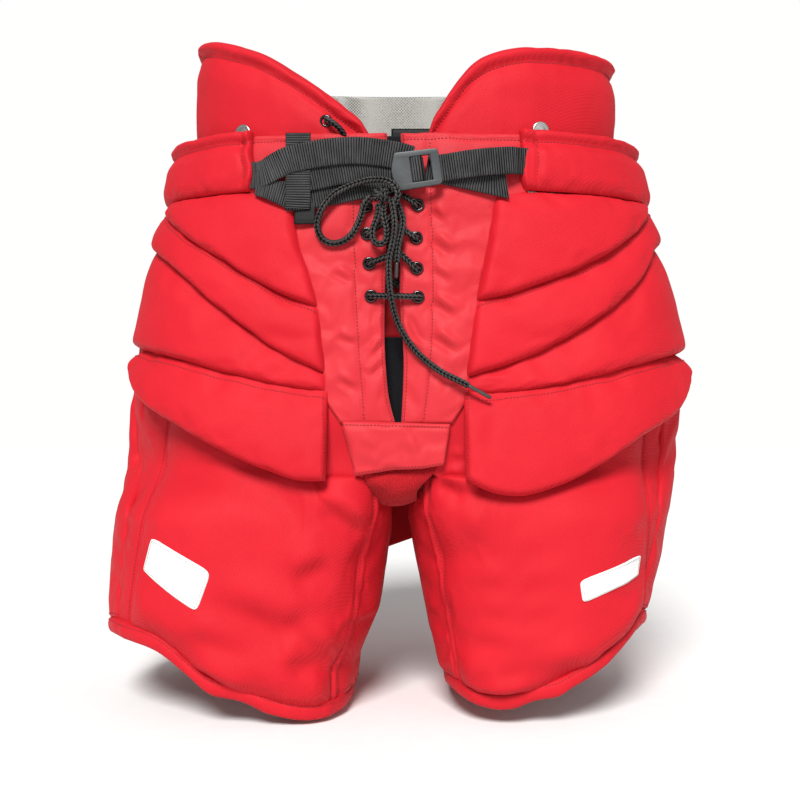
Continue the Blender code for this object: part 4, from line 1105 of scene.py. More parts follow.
def gusset():
    """Rib-knit gusset: bulging at the front, then a band between the legs up to the tailbone pad."""
    route = np.array(smooth_route([(0, *p) for p in GUSSET_PATH], 0.004))

    def surface(a, b):
        spot = b * (len(route) - 1)
        y = np.interp(spot, np.arange(len(route)), route[:, 1])
        z = np.interp(spot, np.arange(len(route)), route[:, 2])
        half = 0.023 + 0.021 * smooth_step(z, 0.214, 0.246) * smooth_step(-y, 0.06, 0.12)
        half = half + 0.014 * smooth_step(y, 0.02, 0.12)
        side = 2 * a - 1
        return points_of(-0.006 + 0.006 * smooth_step(z, 0.215, 0.245) + half * side, y + 0.004 * side ** 2,
                         z + 0.007 * side ** 2)

    panel = Panel(surface, (0.075, 0.40), flip=True, spacing=0.0035, ends=0.1)
    relief = 0.0035 + 0.0012 * bumps(panel.base, 50, 6.1) + crease(
        panel.base, ((-0.0300, 0.2300), (-0.0080, 0.2220)), 0.0025, 0.005)
    piece = pad("gusset", panel, RED_KNIT, 0.0045, relief, rolls=(0.003,) * 4)
    plan(piece, "red_knit", body="girdle", replaces=["crotch_gusset"], fill=0.3)


def bridge():
    """The seat's fabric hanging between the legs at the back."""
    def surface(a, b):
        low = 0.124 + 0.030 * a
        x = -0.040 + 0.085 * a
        return points_of(x, 0.146 - 0.004 * (2 * a - 1) ** 2 + 0.001 * b,
                         low + (BRIDGE_TOP - low) * b)

    panel = Panel(surface, (0.085, 0.16), flip=True, spacing=0.0045)
    relief = 0.003 * bumps(panel.base, 24, 2.2, (1, 1, 0.4))
    piece = pad("seat_bridge", panel, RED, 0.006, relief, rolls=(0.003,) * 4)
    plan(piece, "red_shell", body="girdle", fill=0.3)


def groin(side):
    """The strip of shell fabric between the fly and the flap, running down behind the thigh's top."""
    def surface(a, b):
        z = GROIN_LOW + (GROIN_HIGH - GROIN_LOW) * b
        inner = 0.036 - 0.012 * smooth_step(z, 0.228, 0.246)
        deep = 0.0135 - 0.0045 * smooth_step(z, 0.25, 0.30) + 0.016 * (1 - smooth_step(z, GROIN_LOW, 0.240))
        return front(SIDES[side] * (inner + (0.098 - inner) * a), z, -deep)

    panel = Panel(surface, (0.07, 0.14), flip=MIRRORED[side], spacing=0.0035, ends=0.1)
    relief = 0.0016 * bumps(panel.base, 38, 5.2, (1, 1, 0.6))
    if side == "right":
        relief = (relief + crease(panel.base, ((0.0470, 0.2580), (0.0600, 0.2500)), 0.0022, 0.004)
                  + crease(panel.base, ((0.0465, 0.2420), (0.0560, 0.2330)), 0.0022, 0.004))
    piece = pad(f"groin_{side}", panel, RED, 0.006, relief, rolls=(0.003,) * 4)
    plan(piece, "red_shell", body="girdle", fill=0.3)


# ---------------------------------------------------------------- legs
THIGH_START = -0.158
THIGH_END = 0.172
THIGH_TOP_INNER = 0.238
THIGH_TOP_OUTER = 0.315
GROIN_LOW = 0.206
GROIN_HIGH = 0.345
BRIDGE_TOP = 0.292
THIGH_SEAM = {"left": ((0.05, 0.2700), (0.10, 0.2644), (0.19, 0.2500), (0.29, 0.2340)),
              "right": ((0.05, 0.2350), (0.10, 0.2400), (0.156, 0.2438), (0.216, 0.2440), (0.269, 0.2475))}
THIGH_FOLDS = {
    "left": [(((-0.1180, 0.2355), (-0.0704, 0.1898)), 0.0065, 0.009),
             (((-0.0802, 0.2185), (-0.0171, 0.1784)), 0.0060, 0.008),
             (((-0.1771, 0.1290), (-0.1084, 0.1042), (-0.0647, 0.1118)), 0.0060, 0.011),
             (((-0.1160, 0.0605), (-0.0552, 0.0740)), 0.0060, 0.010),
             (((-0.1084, 0.1403), (-0.0647, 0.1632)), 0.0045, 0.008),
             (((-0.1000, 0.0900), (-0.0600, 0.0800)), 0.0040, 0.008),
             (((-0.2100, 0.0980), (-0.1300, 0.0780)), 0.0045, 0.009),
             (((-0.2000, 0.0600), (-0.1700, 0.0440), (-0.1400, 0.0290)), 0.0070, 0.008)],
    "right": [(((0.0345, 0.2350), (0.0680, 0.2185)), 0.0060, 0.006),
              (((0.0450, 0.1900), (0.0700, 0.1850), (0.1200, 0.2040)), 0.0040, 0.010),
              (((0.0400, 0.1680), (0.1400, 0.1672)), 0.0036, 0.010),
              (((0.0480, 0.1400), (0.1700, 0.1364)), 0.0036, 0.010),
              (((0.0560, 0.1100), (0.1600, 0.1103)), 0.0032, 0.009),
              (((0.0560, 0.0860), (0.1500, 0.0833)), 0.0030, 0.008),
              (((0.0660, 0.0660), (0.1900, 0.0647)), 0.0036, 0.009),
              (((0.0680, 0.0330), (0.1000, 0.0300), (0.1350, 0.0400)), 0.0070, 0.007)],
}


def bend_of(side, start, end):
    return (f"leg_{side}", (SIDES[side] * 0.15, 0.0, start), (SIDES[side] * 0.15, 0.0, end))


def thigh(side):
    """Padded thigh front: a deep cushion between two long seams, and a flat strip outside the outer one."""
    def top_of(turn):
        x = np.abs(leg(side, turn, 0.24)[..., 0])
        return THIGH_TOP_INNER + (THIGH_TOP_OUTER - THIGH_TOP_INNER) * smooth_step(x, 0.068, 0.100)

    def surface(a, b):
        turn = THIGH_START + (THIGH_END - THIGH_START) * a
        low = hem_height(side, turn) + HEM_HEIGHT - 0.006
        return leg(side, turn, low + (top_of(turn) - low) * b)

    panel = Panel(surface, (0.29, 0.24), flip=MIRRORED[side])
    seam = (np.abs(panel.x) - along(THIGH_SEAM[side], panel.z))
    inside = smooth_step(-seam, 0.0, 0.030) * smooth_step(panel.left, 0.012, 0.040)
    relief = (0.007 * inside + groove(seam, 0.0085, 0.0055) - 0.0055 * smooth_step(seam, 0.0, 0.010)
              + groove(panel.left - 0.014, 0.0035, 0.0032) + 0.0022 * bumps(panel.base, 14, 2.9)
              + 0.0005 * bumps(panel.base, 44, 6.6)
              + (0.0050 * np.exp(-((panel.low - 0.030) / 0.018) ** 2) - 0.010 * np.exp(-panel.low / 0.010)) * inside)
    for line, depth, width in THIGH_FOLDS[side]:
        relief = relief + crease(panel.base, line, depth, width * 1.2) * smooth_step(panel.left, 0.012, 0.034)
    piece = pad(f"thigh_{side}", panel, RED, 0.013, relief, rolls=(0.012, 0.006, 0.016, 0.006), seat=0.6)
    rest = mesh_points(piece.data)
    away = np.abs(np.abs(rest[:, 0]) - along(THIGH_SEAM[side], rest[:, 2]))
    FREE[piece.name] = FREE[piece.name] * smooth_step(away, 0.003, 0.010)
    heights = np.linspace(0.075, 0.30, 110)
    centre = [seam_point(side, z) for z in heights]
    plan(piece, "red_pad", bend=bend_of(side, 0.300, 0.238),
         cloth=(2.2, 0.016, 0.007), replaces=[f"thigh_pad_{side}"], fill=0.7,
         seams=[np.array(centre), panel.track("left", 0.014)])


def seam_point(side, z):
    """The thigh's outer seam at this height, found along the leg's outline."""
    turns = np.linspace(0.02, THIGH_END, 80)
    spots = leg(side, turns, np.full(80, z), -0.004)
    x = float(along(THIGH_SEAM[side], np.array([z]))[0])
    return np.array([np.interp(x, np.abs(spots[:, 0]), spots[:, k]) for k in range(3)])


def leg_wrap(side):
    """Side and back of the leg, both hung from the hip pads above."""
    def side_surface(a, b):
        turn = 0.160 + (0.345 - 0.160) * a
        low = hem_height(side, turn) + HEM_HEIGHT - 0.003
        return leg(side, turn, low + (0.366 - low) * b, -0.003)

    panel = Panel(side_surface, (0.17, 0.30), flip=MIRRORED[side], spacing=0.005)
    relief = (0.003 * smooth_step(panel.left, 0.0, 0.03) * smooth_step(panel.right, 0.0, 0.03)
              + groove(panel.left - 0.075, 0.003, 0.005) + 0.001 * bumps(panel.base, 16, 5.5, (1, 1, 0.5))
              + 0.0007 * bumps(panel.base, 50, 4.1))
    piece = pad(f"leg_side_{side}", panel, RED, 0.010, relief, rolls=(0.006, 0.006, 0.006, 0.004))
    plan(piece, "red_pad", bend=bend_of(side, 0.352, 0.240),
         cloth=(1.4, 0.015, 0.005), replaces=[f"leg_side_panel_{side}"], fill=0.5,
         seams=[panel.track("left", 0.075), panel.track("low", 0.007)])

    def back_top(turn):
        x = np.abs(leg(side, turn, 0.2)[..., 0])
        rear = leg(side, turn, 0.2)[..., 1]
        high = 0.196 + (0.330 - 0.196) * smooth_step(x, 0.028, 0.075)
        return high - (high - 0.222) * smooth_step(-rear, 0.03, 0.10)

    def back_surface(a, b):
        turn = 0.325 + (0.857 - 0.325) * a
        low = hem_height(side, turn) + HEM_HEIGHT - 0.003
        return leg(side, turn, low + (back_top(turn) - low) * b, -0.002)

    panel = Panel(back_surface, (0.42, 0.26), flip=MIRRORED[side], spacing=0.006)
    relief = (0.0025 * smooth_step(panel.left, 0.0, 0.03) * smooth_step(panel.right, 0.0, 0.03)
              + 0.0030 * bumps(panel.base, 13, 7.5, (1, 1, 0.45)) + 0.0008 * bumps(panel.base, 46, 1.6))
    piece = pad(f"leg_back_{side}", panel, RED, 0.008, relief, rolls=(0.006, 0.005, 0.005, 0.004))
    plan(piece, "red_pad", bend=bend_of(side, 0.325, 0.215),
         cloth=(1.2, 0.02, 0.005), replaces=[f"leg_back_panel_{side}"], fill=0.4,
         seams=[panel.track("left", 0.008), panel.track("low", 0.007)])


def hem(side):
    """The rolled hem, puckered where its seam pulls."""
    around, rim = 300, 16
    turn = np.arange(around) / around
    low = hem_height(side, turn)
    low = np.mean([np.roll(low, k) for k in range(-5, 6)], axis=0)
    low = np.maximum(low, 0.0)
    centre = leg(side, turn, low + 0.0085, -0.0055)
    out = unit(leg(side, turn, low + 0.0085, 0.004) - centre)
    angle = np.linspace(0, 2 * math.pi, rim, endpoint=False)
    pucker = 1 + 0.13 * bumps(centre, 75, 3.0)[:, None] + 0.10 * bumps(centre, 170, 8.0)[:, None]
    wave = np.sin(angle * 2 + 4 * bumps(centre, 40, 1.0)[:, None]) * 0.07
    radius = pucker + wave
    reach = np.copysign(np.abs(np.cos(angle)) ** 0.85, np.cos(angle)) * 0.0068
    height = np.copysign(np.abs(np.sin(angle)) ** 0.85, np.sin(angle)) * 0.0085
    rise = height[None, :] * np.where(height < 0, 1.0, radius)
    points = (centre[:, None, :] + out[:, None, :] * (reach[None, :] * radius)[..., None]
              + rise[..., None] * np.array([0, 0, 1.0]))
    points[..., 2] = np.maximum(points[..., 2], 0.0)
    faces = grid_faces(around + 1, rim, wrap=True)
    faces = (np.array(faces) % (around * rim)).tolist()
    piece = make(f"hem_{side}", points, faces, RED)
    face_outwards(piece.data)
    outer = leg(side, turn, low + HEM_HEIGHT - 0.001, 0.002)
    plan(piece, "red_pad", body=f"leg_{side}", replaces=[f"leg_hem_{side}"], fill=0.5,
         seams=[np.vstack([outer, outer[:1]])])


# ---------------------------------------------------------------- patches
PATCHES = {  # corners as (x, z) on the thigh, turning the same way
    "left": ((-0.2330, 0.1790), (-0.1745, 0.1480), (-0.1880, 0.1105), (-0.2440, 0.1455)),
    "right": ((0.1660, 0.1400), (0.2290, 0.1610), (0.2270, 0.1400), (0.1690, 0.1190)),
}


def patch(side):
    """A plain sewn badge with an edging, laid on the thigh's surface."""
    tree = tree_of(bpy.data.objects[f"thigh_{side}"])
    corners = np.array(PATCHES[side])
    count = 26
    s, t = np.meshgrid(np.linspace(0, 1, count * 2), np.linspace(0, 1, count), indexing="ij")
    lift = 0.0011 * quarter(np.minimum(np.minimum(s, 1 - s) * 0.06, np.minimum(t, 1 - t) * 0.035), 0.0016)

    p, q = 2 * s - 1, 2 * t - 1
    limit = (np.abs(p) ** 8 + np.abs(q) ** 8) ** (1 / 8)
    pull = np.where(limit > 1, 1 / limit, 1)  # rounds the badge's corners
    p, q = (p * pull + 1) / 2, (q * pull + 1) / 2
    xz = ((1 - p)[..., None] * ((1 - q)[..., None] * corners[0] + q[..., None] * corners[3])
          + p[..., None] * ((1 - q)[..., None] * corners[1] + q[..., None] * corners[2]))
    top = np.zeros((*s.shape, 3))
    for i in range(s.shape[0]):
        for j in range(s.shape[1]):
            origin = Vector((xz[i, j, 0], -0.25, xz[i, j, 1]))
            hit, normal, _, _ = tree.ray_cast(origin, Vector((0, 1, 0)))
            top[i, j] = hit + normal * (0.0004 + lift[i, j])
    base = top + [0, 0.0022, 0]
    rows, columns = s.shape
    points = np.concatenate([top.reshape(-1, 3), base.reshape(-1, 3)])
    flip = side == "left"
    faces = grid_faces(rows, columns, flip=not flip) + grid_faces(rows, columns, start=rows * columns, flip=flip)
    index = np.arange(rows * columns).reshape(rows, columns)
    rim = np.concatenate([index[:, 0], index[-1, 1:], index[-2::-1, -1], index[0, -2:0:-1]])
    faces += [(int(a), int(b), int(b) + rows * columns, int(a) + rows * columns)
              for a, b in zip(rim, np.roll(rim, -1))]
    piece = make(f"patch_{side}", points, faces, PATCH)
    face_outwards(piece.data)
    inset = 0.08
    ring = [top[int(round(i)), int(round(j))] for i, j in ring_of(rows - 1, columns - 1, inset)]
    thread = stitches(f"patch_thread_{side}", [ring], [piece], pitch=0.0016, length=0.0015, radius=0.0003,
                      made_of=PATCH_EDGE)
    for thing in (piece, thread):
        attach(thing, f"leg_{side}")


def ring_of(rows, columns, inset):
    """Grid places round a rectangle, this share in from its edges."""
    low_i, high_i = rows * inset * 0.55, rows * (1 - inset * 0.55)
    low_j, high_j = columns * inset, columns * (1 - inset)
    i, j = np.linspace(low_i, high_i, 40), np.linspace(low_j, high_j, 24)
    return ([(v, low_j) for v in i] + [(high_i, v) for v in j] + [(v, high_j) for v in i[::-1]]
            + [(low_i, v) for v in j[::-1]])


# ---------------------------------------------------------------- cords
def smooth_route(points, spacing):
    """Points about spacing apart on a smooth curve through the given ones (Catmull-Rom)."""
    route = [Vector(p) for p in points]
    padded = [route[0] * 2 - route[1], *route, route[-1] * 2 - route[-2]]
    fine = []
    for i in range(1, len(padded) - 2):
        p0, p1, p2, p3 = padded[i - 1:i + 3]
        for k in range(8):
            t = k / 8
            fine.append(0.5 * ((2 * p1) + (p2 - p0) * t + (2 * p0 - 5 * p1 + 4 * p2 - p3) * t * t
                               + (3 * p1 - p0 - 3 * p2 + p3) * t ** 3))
    fine.append(route[-1])
    lengths = np.concatenate([[0], np.cumsum([(b - a).length for a, b in zip(fine, fine[1:])])])
    count = max(2, round(lengths[-1] / spacing))
    stations = np.linspace(0, lengths[-1], count + 1)
    return [[float(np.interp(s, lengths, [p[k] for p in fine])) for k in range(3)] for s in stations]


def rings_along(route, around):
    """A route's points, and at each the directions to the points of a ring that doesn't twist."""
    route = np.asarray(route, float)
    tangent = unit(np.gradient(route, axis=0))
    first = np.zeros_like(route)
    guess = np.array([0.0, 0.0, 1.0]) if abs(tangent[0][2]) < 0.8 else np.array([1.0, 0.0, 0.0])
    for i, way in enumerate(tangent):
        guess = guess - way * (guess @ way)
        guess = guess / np.linalg.norm(guess)
        first[i] = guess
    angle = np.arange(around) / around * 2 * math.pi
    second = np.cross(tangent, first)
    return route, (np.cos(angle)[None, :, None] * first[:, None, :]
                   + np.sin(angle)[None, :, None] * second[:, None, :])


def closed_tube(name, sections, made_of):
    """A mesh through sections of equal numbers of points, with a face over each end."""
    rows, around = sections.shape[:2]
    last = (rows - 1) * around
    faces = grid_faces(rows, around, wrap=True, flip=True)
    faces += [tuple(range(around - 1, -1, -1)), tuple(range(last, last + around))]
    return make(name, sections, faces, made_of)


BRAID_COLUMNS = 4
CELLS_PER_COLUMN = 9
BRAID_PITCH = 0.0038
BRAID_TAPER = 0.0012


def braid(name, route, radius):
    """A herringbone lace: columns of plump slanting stitches, slanting the other way in each next column."""
    around = BRAID_COLUMNS * CELLS_PER_COLUMN
    route, ring = rings_along(smooth_route(route, 0.00048), around)
    walked = walked_along(route)
    share = np.arange(around) / around * BRAID_COLUMNS
    column = np.floor(share)
    across = share - column - 0.5 + 0.5 / CELLS_PER_COLUMN
    slant = np.where(column % 2 == 0, 1, -1)
    phase = walked[:, None] / BRAID_PITCH + (slant * across * 1.1)[None, :]
    plump = np.abs(np.sin(math.pi * phase)) ** 0.8 * (1 - np.abs(2 * across[None, :]) ** 2 * 0.8)
    ends = quarter(np.minimum(walked, walked[-1] - walked), BRAID_TAPER)
    reach = (radius * 0.74 + radius * 0.36 * plump) * (0.25 + 0.75 * ends)[:, None]
    piece = closed_tube(name, route[:, None, :] + ring * reach[..., None], BRAID)
    # painted shade: the faces in the valleys between stitches take the near-black material
    paint_valley_shade(piece, (plump[:-1] < 0.42).ravel(), BRAID_PAINTED_SHADE)
    return piece, route


LACE_RADIUS = 0.0032
LACE_HELD_RADIUS = 0.0029
LACE_ROUTES = {
    "lace_loop_large": (
        (-0.0050, -0.1600, 0.4880), (-0.0018, -0.1640, 0.4965), (-0.0052, -0.1655, 0.5050),
        (-0.0150, -0.1630, 0.5100), (-0.0300, -0.1560, 0.5108), (-0.0461, -0.1530, 0.5062),
        (-0.0606, -0.1525, 0.4990), (-0.0704, -0.1522, 0.4885), (-0.0761, -0.1510, 0.4763),
        (-0.0768, -0.1495, 0.4664), (-0.0718, -0.1485, 0.4570), (-0.0618, -0.1480, 0.4533),
        (-0.0503, -0.1485, 0.4570), (-0.0419, -0.1495, 0.4664), (-0.0363, -0.1510, 0.4794),
        (-0.0333, -0.1545, 0.4890), (-0.0272, -0.1555, 0.4965)),
    "lace_loop_small": (
        (-0.0212, -0.1550, 0.4895), (-0.0200, -0.1555, 0.4830), (-0.0222, -0.1560, 0.4740),
        (-0.0254, -0.1560, 0.4650), (-0.0247, -0.1560, 0.4556), (-0.0185, -0.1560, 0.4515),
        (-0.0130, -0.1560, 0.4560), (-0.0125, -0.1560, 0.4660), (-0.0148, -0.1560, 0.4760),
        (-0.0150, -0.1550, 0.4830), (-0.0145, -0.1545, 0.4888)),
    "lace_tail_long": (
        (-0.0086, -0.1610, 0.4925), (-0.0065, -0.1615, 0.4830), (-0.0050, -0.1615, 0.4692),
        (-0.0066, -0.1615, 0.4540), (-0.0100, -0.1615, 0.4384), (-0.0104, -0.1610, 0.4263),
        (-0.0097, -0.1610, 0.4123), (-0.0075, -0.1605, 0.3979), (-0.0040, -0.1590, 0.3836),
        (0.0024, -0.1580, 0.3694), (0.0124, -0.1578, 0.3550), (0.0252, -0.1585, 0.3424),
        (0.0395, -0.1600, 0.3322), (0.0538, -0.1630, 0.3251), (0.0638, -0.1650, 0.3200)),
    "lace_tail_short": (
        (-0.0060, -0.1545, 0.4960), (-0.0005, -0.1550, 0.4850), (0.0026, -0.1555, 0.4735),
        (0.0012, -0.1565, 0.4626), (-0.0010, -0.1575, 0.4533), (-0.0024, -0.1580, 0.4440),
        (-0.0030, -0.1580, 0.4340)),
}
AGLETS = {
    "lace_tail_long": ((0.0625, -0.1648, 0.3206), (0.0838, -0.1655, 0.3087)),
    "lace_tail_short": ((-0.0029, -0.1580, 0.4350), (-0.0036, -0.1578, 0.4195)),
}
KNOT_WRAPS = (
    ((-0.0230, -0.1545, 0.5010), (-0.0205, -0.1590, 0.4975), (-0.0150, -0.1600, 0.4945), (-0.0098, -0.1560, 0.4930)),
    ((-0.0098, -0.1550, 0.5010), (-0.0130, -0.1592, 0.5000), (-0.0185, -0.1600, 0.4968), (-0.0232, -0.1550, 0.4925)),
    ((-0.0165, -0.1560, 0.5040), (-0.0160, -0.1612, 0.5000), (-0.0158, -0.1610, 0.4940), (-0.0165, -0.1555, 0.4895)),
)


def plain_tube(name, route, radius, made_of):
    """A round tube with rounded ends."""
    route, ring = rings_along(smooth_route(route, 0.0012), 14)
    walked = walked_along(route)
    reach = radius * (0.35 + 0.65 * quarter(np.minimum(walked, walked[-1] - walked), radius * 0.6))
    return closed_tube(name, route[:, None, :] + ring * reach[:, None, None], made_of)


def cords():
    """The free laces: two loops and two tails, each on the route of its CAD solids."""
    tips = {name: plain_tube(name.replace("tail", "tip"), route, 0.0018, AGLET)
            for name, route in AGLETS.items()}
    for tip in tips.values():
        settle(tip, "girdle", "lace")
    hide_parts("aglet_long")
    for name, points in LACE_ROUTES.items():
        piece, route = braid(f"{name}_braid", points, LACE_RADIUS)
        settle(piece, "girdle", "lace", name)
        length = float(np.linalg.norm(np.diff(route, axis=0), axis=1).sum())


def lacing_route():
    """One lace: from the upper left eyelet, crossing down, over the bottom bar, and up to the knot."""
    ahead, behind = -0.0052, FLY_THICKNESS + 0.0055
    deep = behind + 0.0062

    def spot(x, z, depth):
        return tuple(float(v) for v in front(np.float64(x), np.float64(z), -FLY_INSET - depth))

    def through(x, z, comes_from, inner=None):
        outside = x if inner is None else inner
        stops = [spot(outside, z, behind), spot(x, z, FLY_THICKNESS / 2), spot(outside, z, ahead)]
        return stops if comes_from == "back" else stops[::-1]

    def eyelet(side, level, comes_from):
        x, z = EYELET_X[side][level - 1], EYELETS[side][level - 1]
        return through(x, z, comes_from, x - SIDES[side] * 0.0016)

    def slit(z, comes_from):
        return through((slit_edge("left", z) + slit_edge("right", z)) / 2, z, comes_from)

    route = eyelet("left", 4, "front")
    route += slit(0.4715, "back")
    route += eyelet("right", 3, "front")
    route += slit(0.4425, "back")
    route += eyelet("left", 2, "front")
    route += eyelet("right", 1, "back")
    route += eyelet("left", 1, "front")
    route += [spot(-0.020, 0.411, deep), spot(0.008, 0.424, deep)]
    route += eyelet("right", 2, "back")
    route += slit(0.4500, "front")
    route += eyelet("left", 3, "back")
    route += slit(0.4795, "front")
    route += eyelet("right", 4, "back")
    route += [spot(0.0080, 0.4950, ahead), spot(0.0015, 0.4985, ahead)]
    return route


WING_LACE = ((-0.0697, -0.1240, 0.5737), (-0.0692, -0.1320, 0.5730), (-0.0650, -0.1360, 0.5698),
             (-0.0598, -0.1360, 0.5660), (-0.0545, -0.1335, 0.5605), (-0.0505, -0.1280, 0.5530))


def held_laces():
    """The laces that are held all along: the lacing, the wing's lace and the bow's knot."""
    lacing, _ = braid("lacing_braid", lacing_route(), LACE_HELD_RADIUS)
    short, _ = braid("wing_lace_braid", WING_LACE, LACE_HELD_RADIUS)
    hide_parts("lace_lacing")
    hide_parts("lace_wing")
    wraps = [braid(f"knot_wrap_{k}", route, LACE_RADIUS)[0] for k, route in enumerate(KNOT_WRAPS, 1)]
    core = plain_tube("knot_core", ((-0.0215, -0.1545, 0.4980), (-0.0165, -0.1550, 0.4975),
                                    (-0.0115, -0.1545, 0.4970)), 0.0046, BRAID)
    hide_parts("lace_knot")
    for piece in (lacing, short, core, *wraps):
        settle(piece, "girdle", "lace")


# ---------------------------------------------------------------- webbing and buckle
RIB_PITCH = 0.0023
RIB_HEIGHT = 0.0009


def paint_valley_shade(piece, low, made_of):
    """Gives the faces between ribs or stitches a near-black material: painted shade in the valleys."""
    piece.data.materials.append(made_of)
    index = np.zeros(len(piece.data.polygons), np.int32)
    index[:len(low)] = low
    piece.data.polygons.foreach_set("material_index", index)


def webbing(name, path, width, upright=(0, 0, 1), cut=0.0, body="girdle", replaces=()):
    """A strap along its centre line, ribbed across its width. upright is the way its width runs."""
    route = np.array(smooth_route(path, 0.00035))
    tangent = unit(np.gradient(route, axis=0))
    up = np.broadcast_to(np.array(upright, float), route.shape)
    up = unit(up - tangent * np.sum(up * tangent, axis=1, keepdims=True))
    out = unit(np.cross(tangent, up))
    walked = walked_along(route)
    columns = 15
    v = spread(columns - 1, 0.6) - 0.5
    ends = width if isinstance(width, tuple) else (width, width)
    width = np.interp(walked, (0, walked[-1]), ends)[:, None]
    rib = np.abs(np.sin(math.pi * walked / RIB_PITCH)) ** 0.7
    rounded = quarter(0.5 - np.abs(v), 0.05)
    slant = cut * v[None, :] * smooth_step(walked, walked[-1] * 0.6, walked[-1])[:, None]
    face = ((WEBBING_THICKNESS / 2 * (0.45 + 0.55 * rounded))[None, :]
            + RIB_HEIGHT * (rib[:, None] - 0.5) * rounded[None, :])
    middle = (route[:, None, :] + up[:, None, :] * (v[None, :] * width)[..., None]
              + tangent[:, None, :] * slant[..., None])
    front_face = middle + out[:, None, :] * face[..., None]
    back_face = middle - out[:, None, :] * face[..., None]
    section = np.concatenate([front_face, back_face[:, ::-1]], axis=1)
    piece = closed_tube(name, section, WEBBING)
    # painted shade: the faces in the valleys between ribs take the near-black material
    paint_valley_shade(piece, np.repeat(rib[:-1] < 0.58, columns * 2), WEBBING_PAINTED_SHADE)
    settle(piece, body, "webbing", *replaces)


STRAPS = {
    "strap_long": ((-0.1600, -0.1140, 0.5250), (-0.1480, -0.1225, 0.5225), (-0.1380, -0.1330, 0.5195),
                   (-0.1290, -0.1420, 0.5195), (-0.1156, -0.1490, 0.5255), (-0.0997, -0.1515, 0.5316),
                   (-0.0690, -0.1525, 0.5372), (-0.0382, -0.1525, 0.5390), (-0.0050, -0.1520, 0.5350),
                   (0.0110, -0.1505, 0.5310)),
    "strap_lower": ((-0.1080, -0.1440, 0.4965), (-0.0839, -0.1456, 0.4985), (-0.0466, -0.1464, 0.5055),
                    (-0.0060, -0.1465, 0.5140)),
    "strap_right": ((0.0352, -0.1511, 0.5226), (0.0430, -0.1515, 0.5235), (0.0520, -0.1522, 0.5249),
                    (0.0640, -0.1540, 0.5265), (0.0800, -0.1545, 0.5282), (0.1020, -0.1506, 0.5303),
                    (0.1130, -0.1425, 0.5312), (0.1300, -0.1320, 0.5320)),
}


def straps():
    """The belt's webbing, with its keeper and stitched folds."""
    for name, path in STRAPS.items():
        webbing(f"{name}_web", path, WEBBING_WIDTH, replaces=[name])
    webbing("strap_middle_web", ((-0.0860, -0.1490, 0.5145), (-0.0600, -0.1492, 0.5195), (-0.0300, -0.1494, 0.5245),
                                 (-0.0050, -0.1494, 0.5260)), WEBBING_WIDTH)
    webbing("strap_tail_web", ((0.0246, -0.1460, 0.5236), (0.0450, -0.1470, 0.5205), (0.0700, -0.1476, 0.5150),
                               (0.1000, -0.1470, 0.5085)), WEBBING_WIDTH, cut=-0.010, body="buckle",
            replaces=["strap_tail"])
    webbing("strap_keeper_web", ((-0.0950, -0.1500, 0.5560), (-0.0950, -0.1500, 0.5250), (-0.0950, -0.1502, 0.5000),
                                 (-0.0955, -0.1480, 0.4860)), 0.0235, upright=(-1, 0, 0),
            replaces=["strap_keeper"])
    webbing("strap_fold_web", ((-0.1360, -0.1370, 0.5065), (-0.1250, -0.1440, 0.5045), (-0.1120, -0.1470, 0.5010),
                               (-0.0990, -0.1470, 0.4970)), (0.0130, 0.0270), upright=(0.25, 0, 0.97))
    tab = webbing_tab()
    settle(tab, "girdle", "webbing")


def webbing_tab():
    """A smooth black tab under the keeper, with a stitched lower end."""
    def surface(a, b):
        return front(-0.0995 + 0.0205 * a, 0.4715 + 0.024 * b, 0.0015)

    panel = Panel(surface, (0.02, 0.024), spacing=0.0012, ends=0.2)
    relief = groove(panel.low - 0.0025, 0.0004, 0.0007)
    tab = pad("keeper_tab", panel, TAPE, 0.0022, relief, rolls=(0.0008, 0.0008, 0.0008, 0.0008))
    thread = stitches("keeper_tab_thread", [panel.track("low", 0.0025)], [tab], pitch=0.0022, length=0.0017,
                      radius=0.00022, made_of=TAPE)
    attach(thread, "girdle")
    return tab


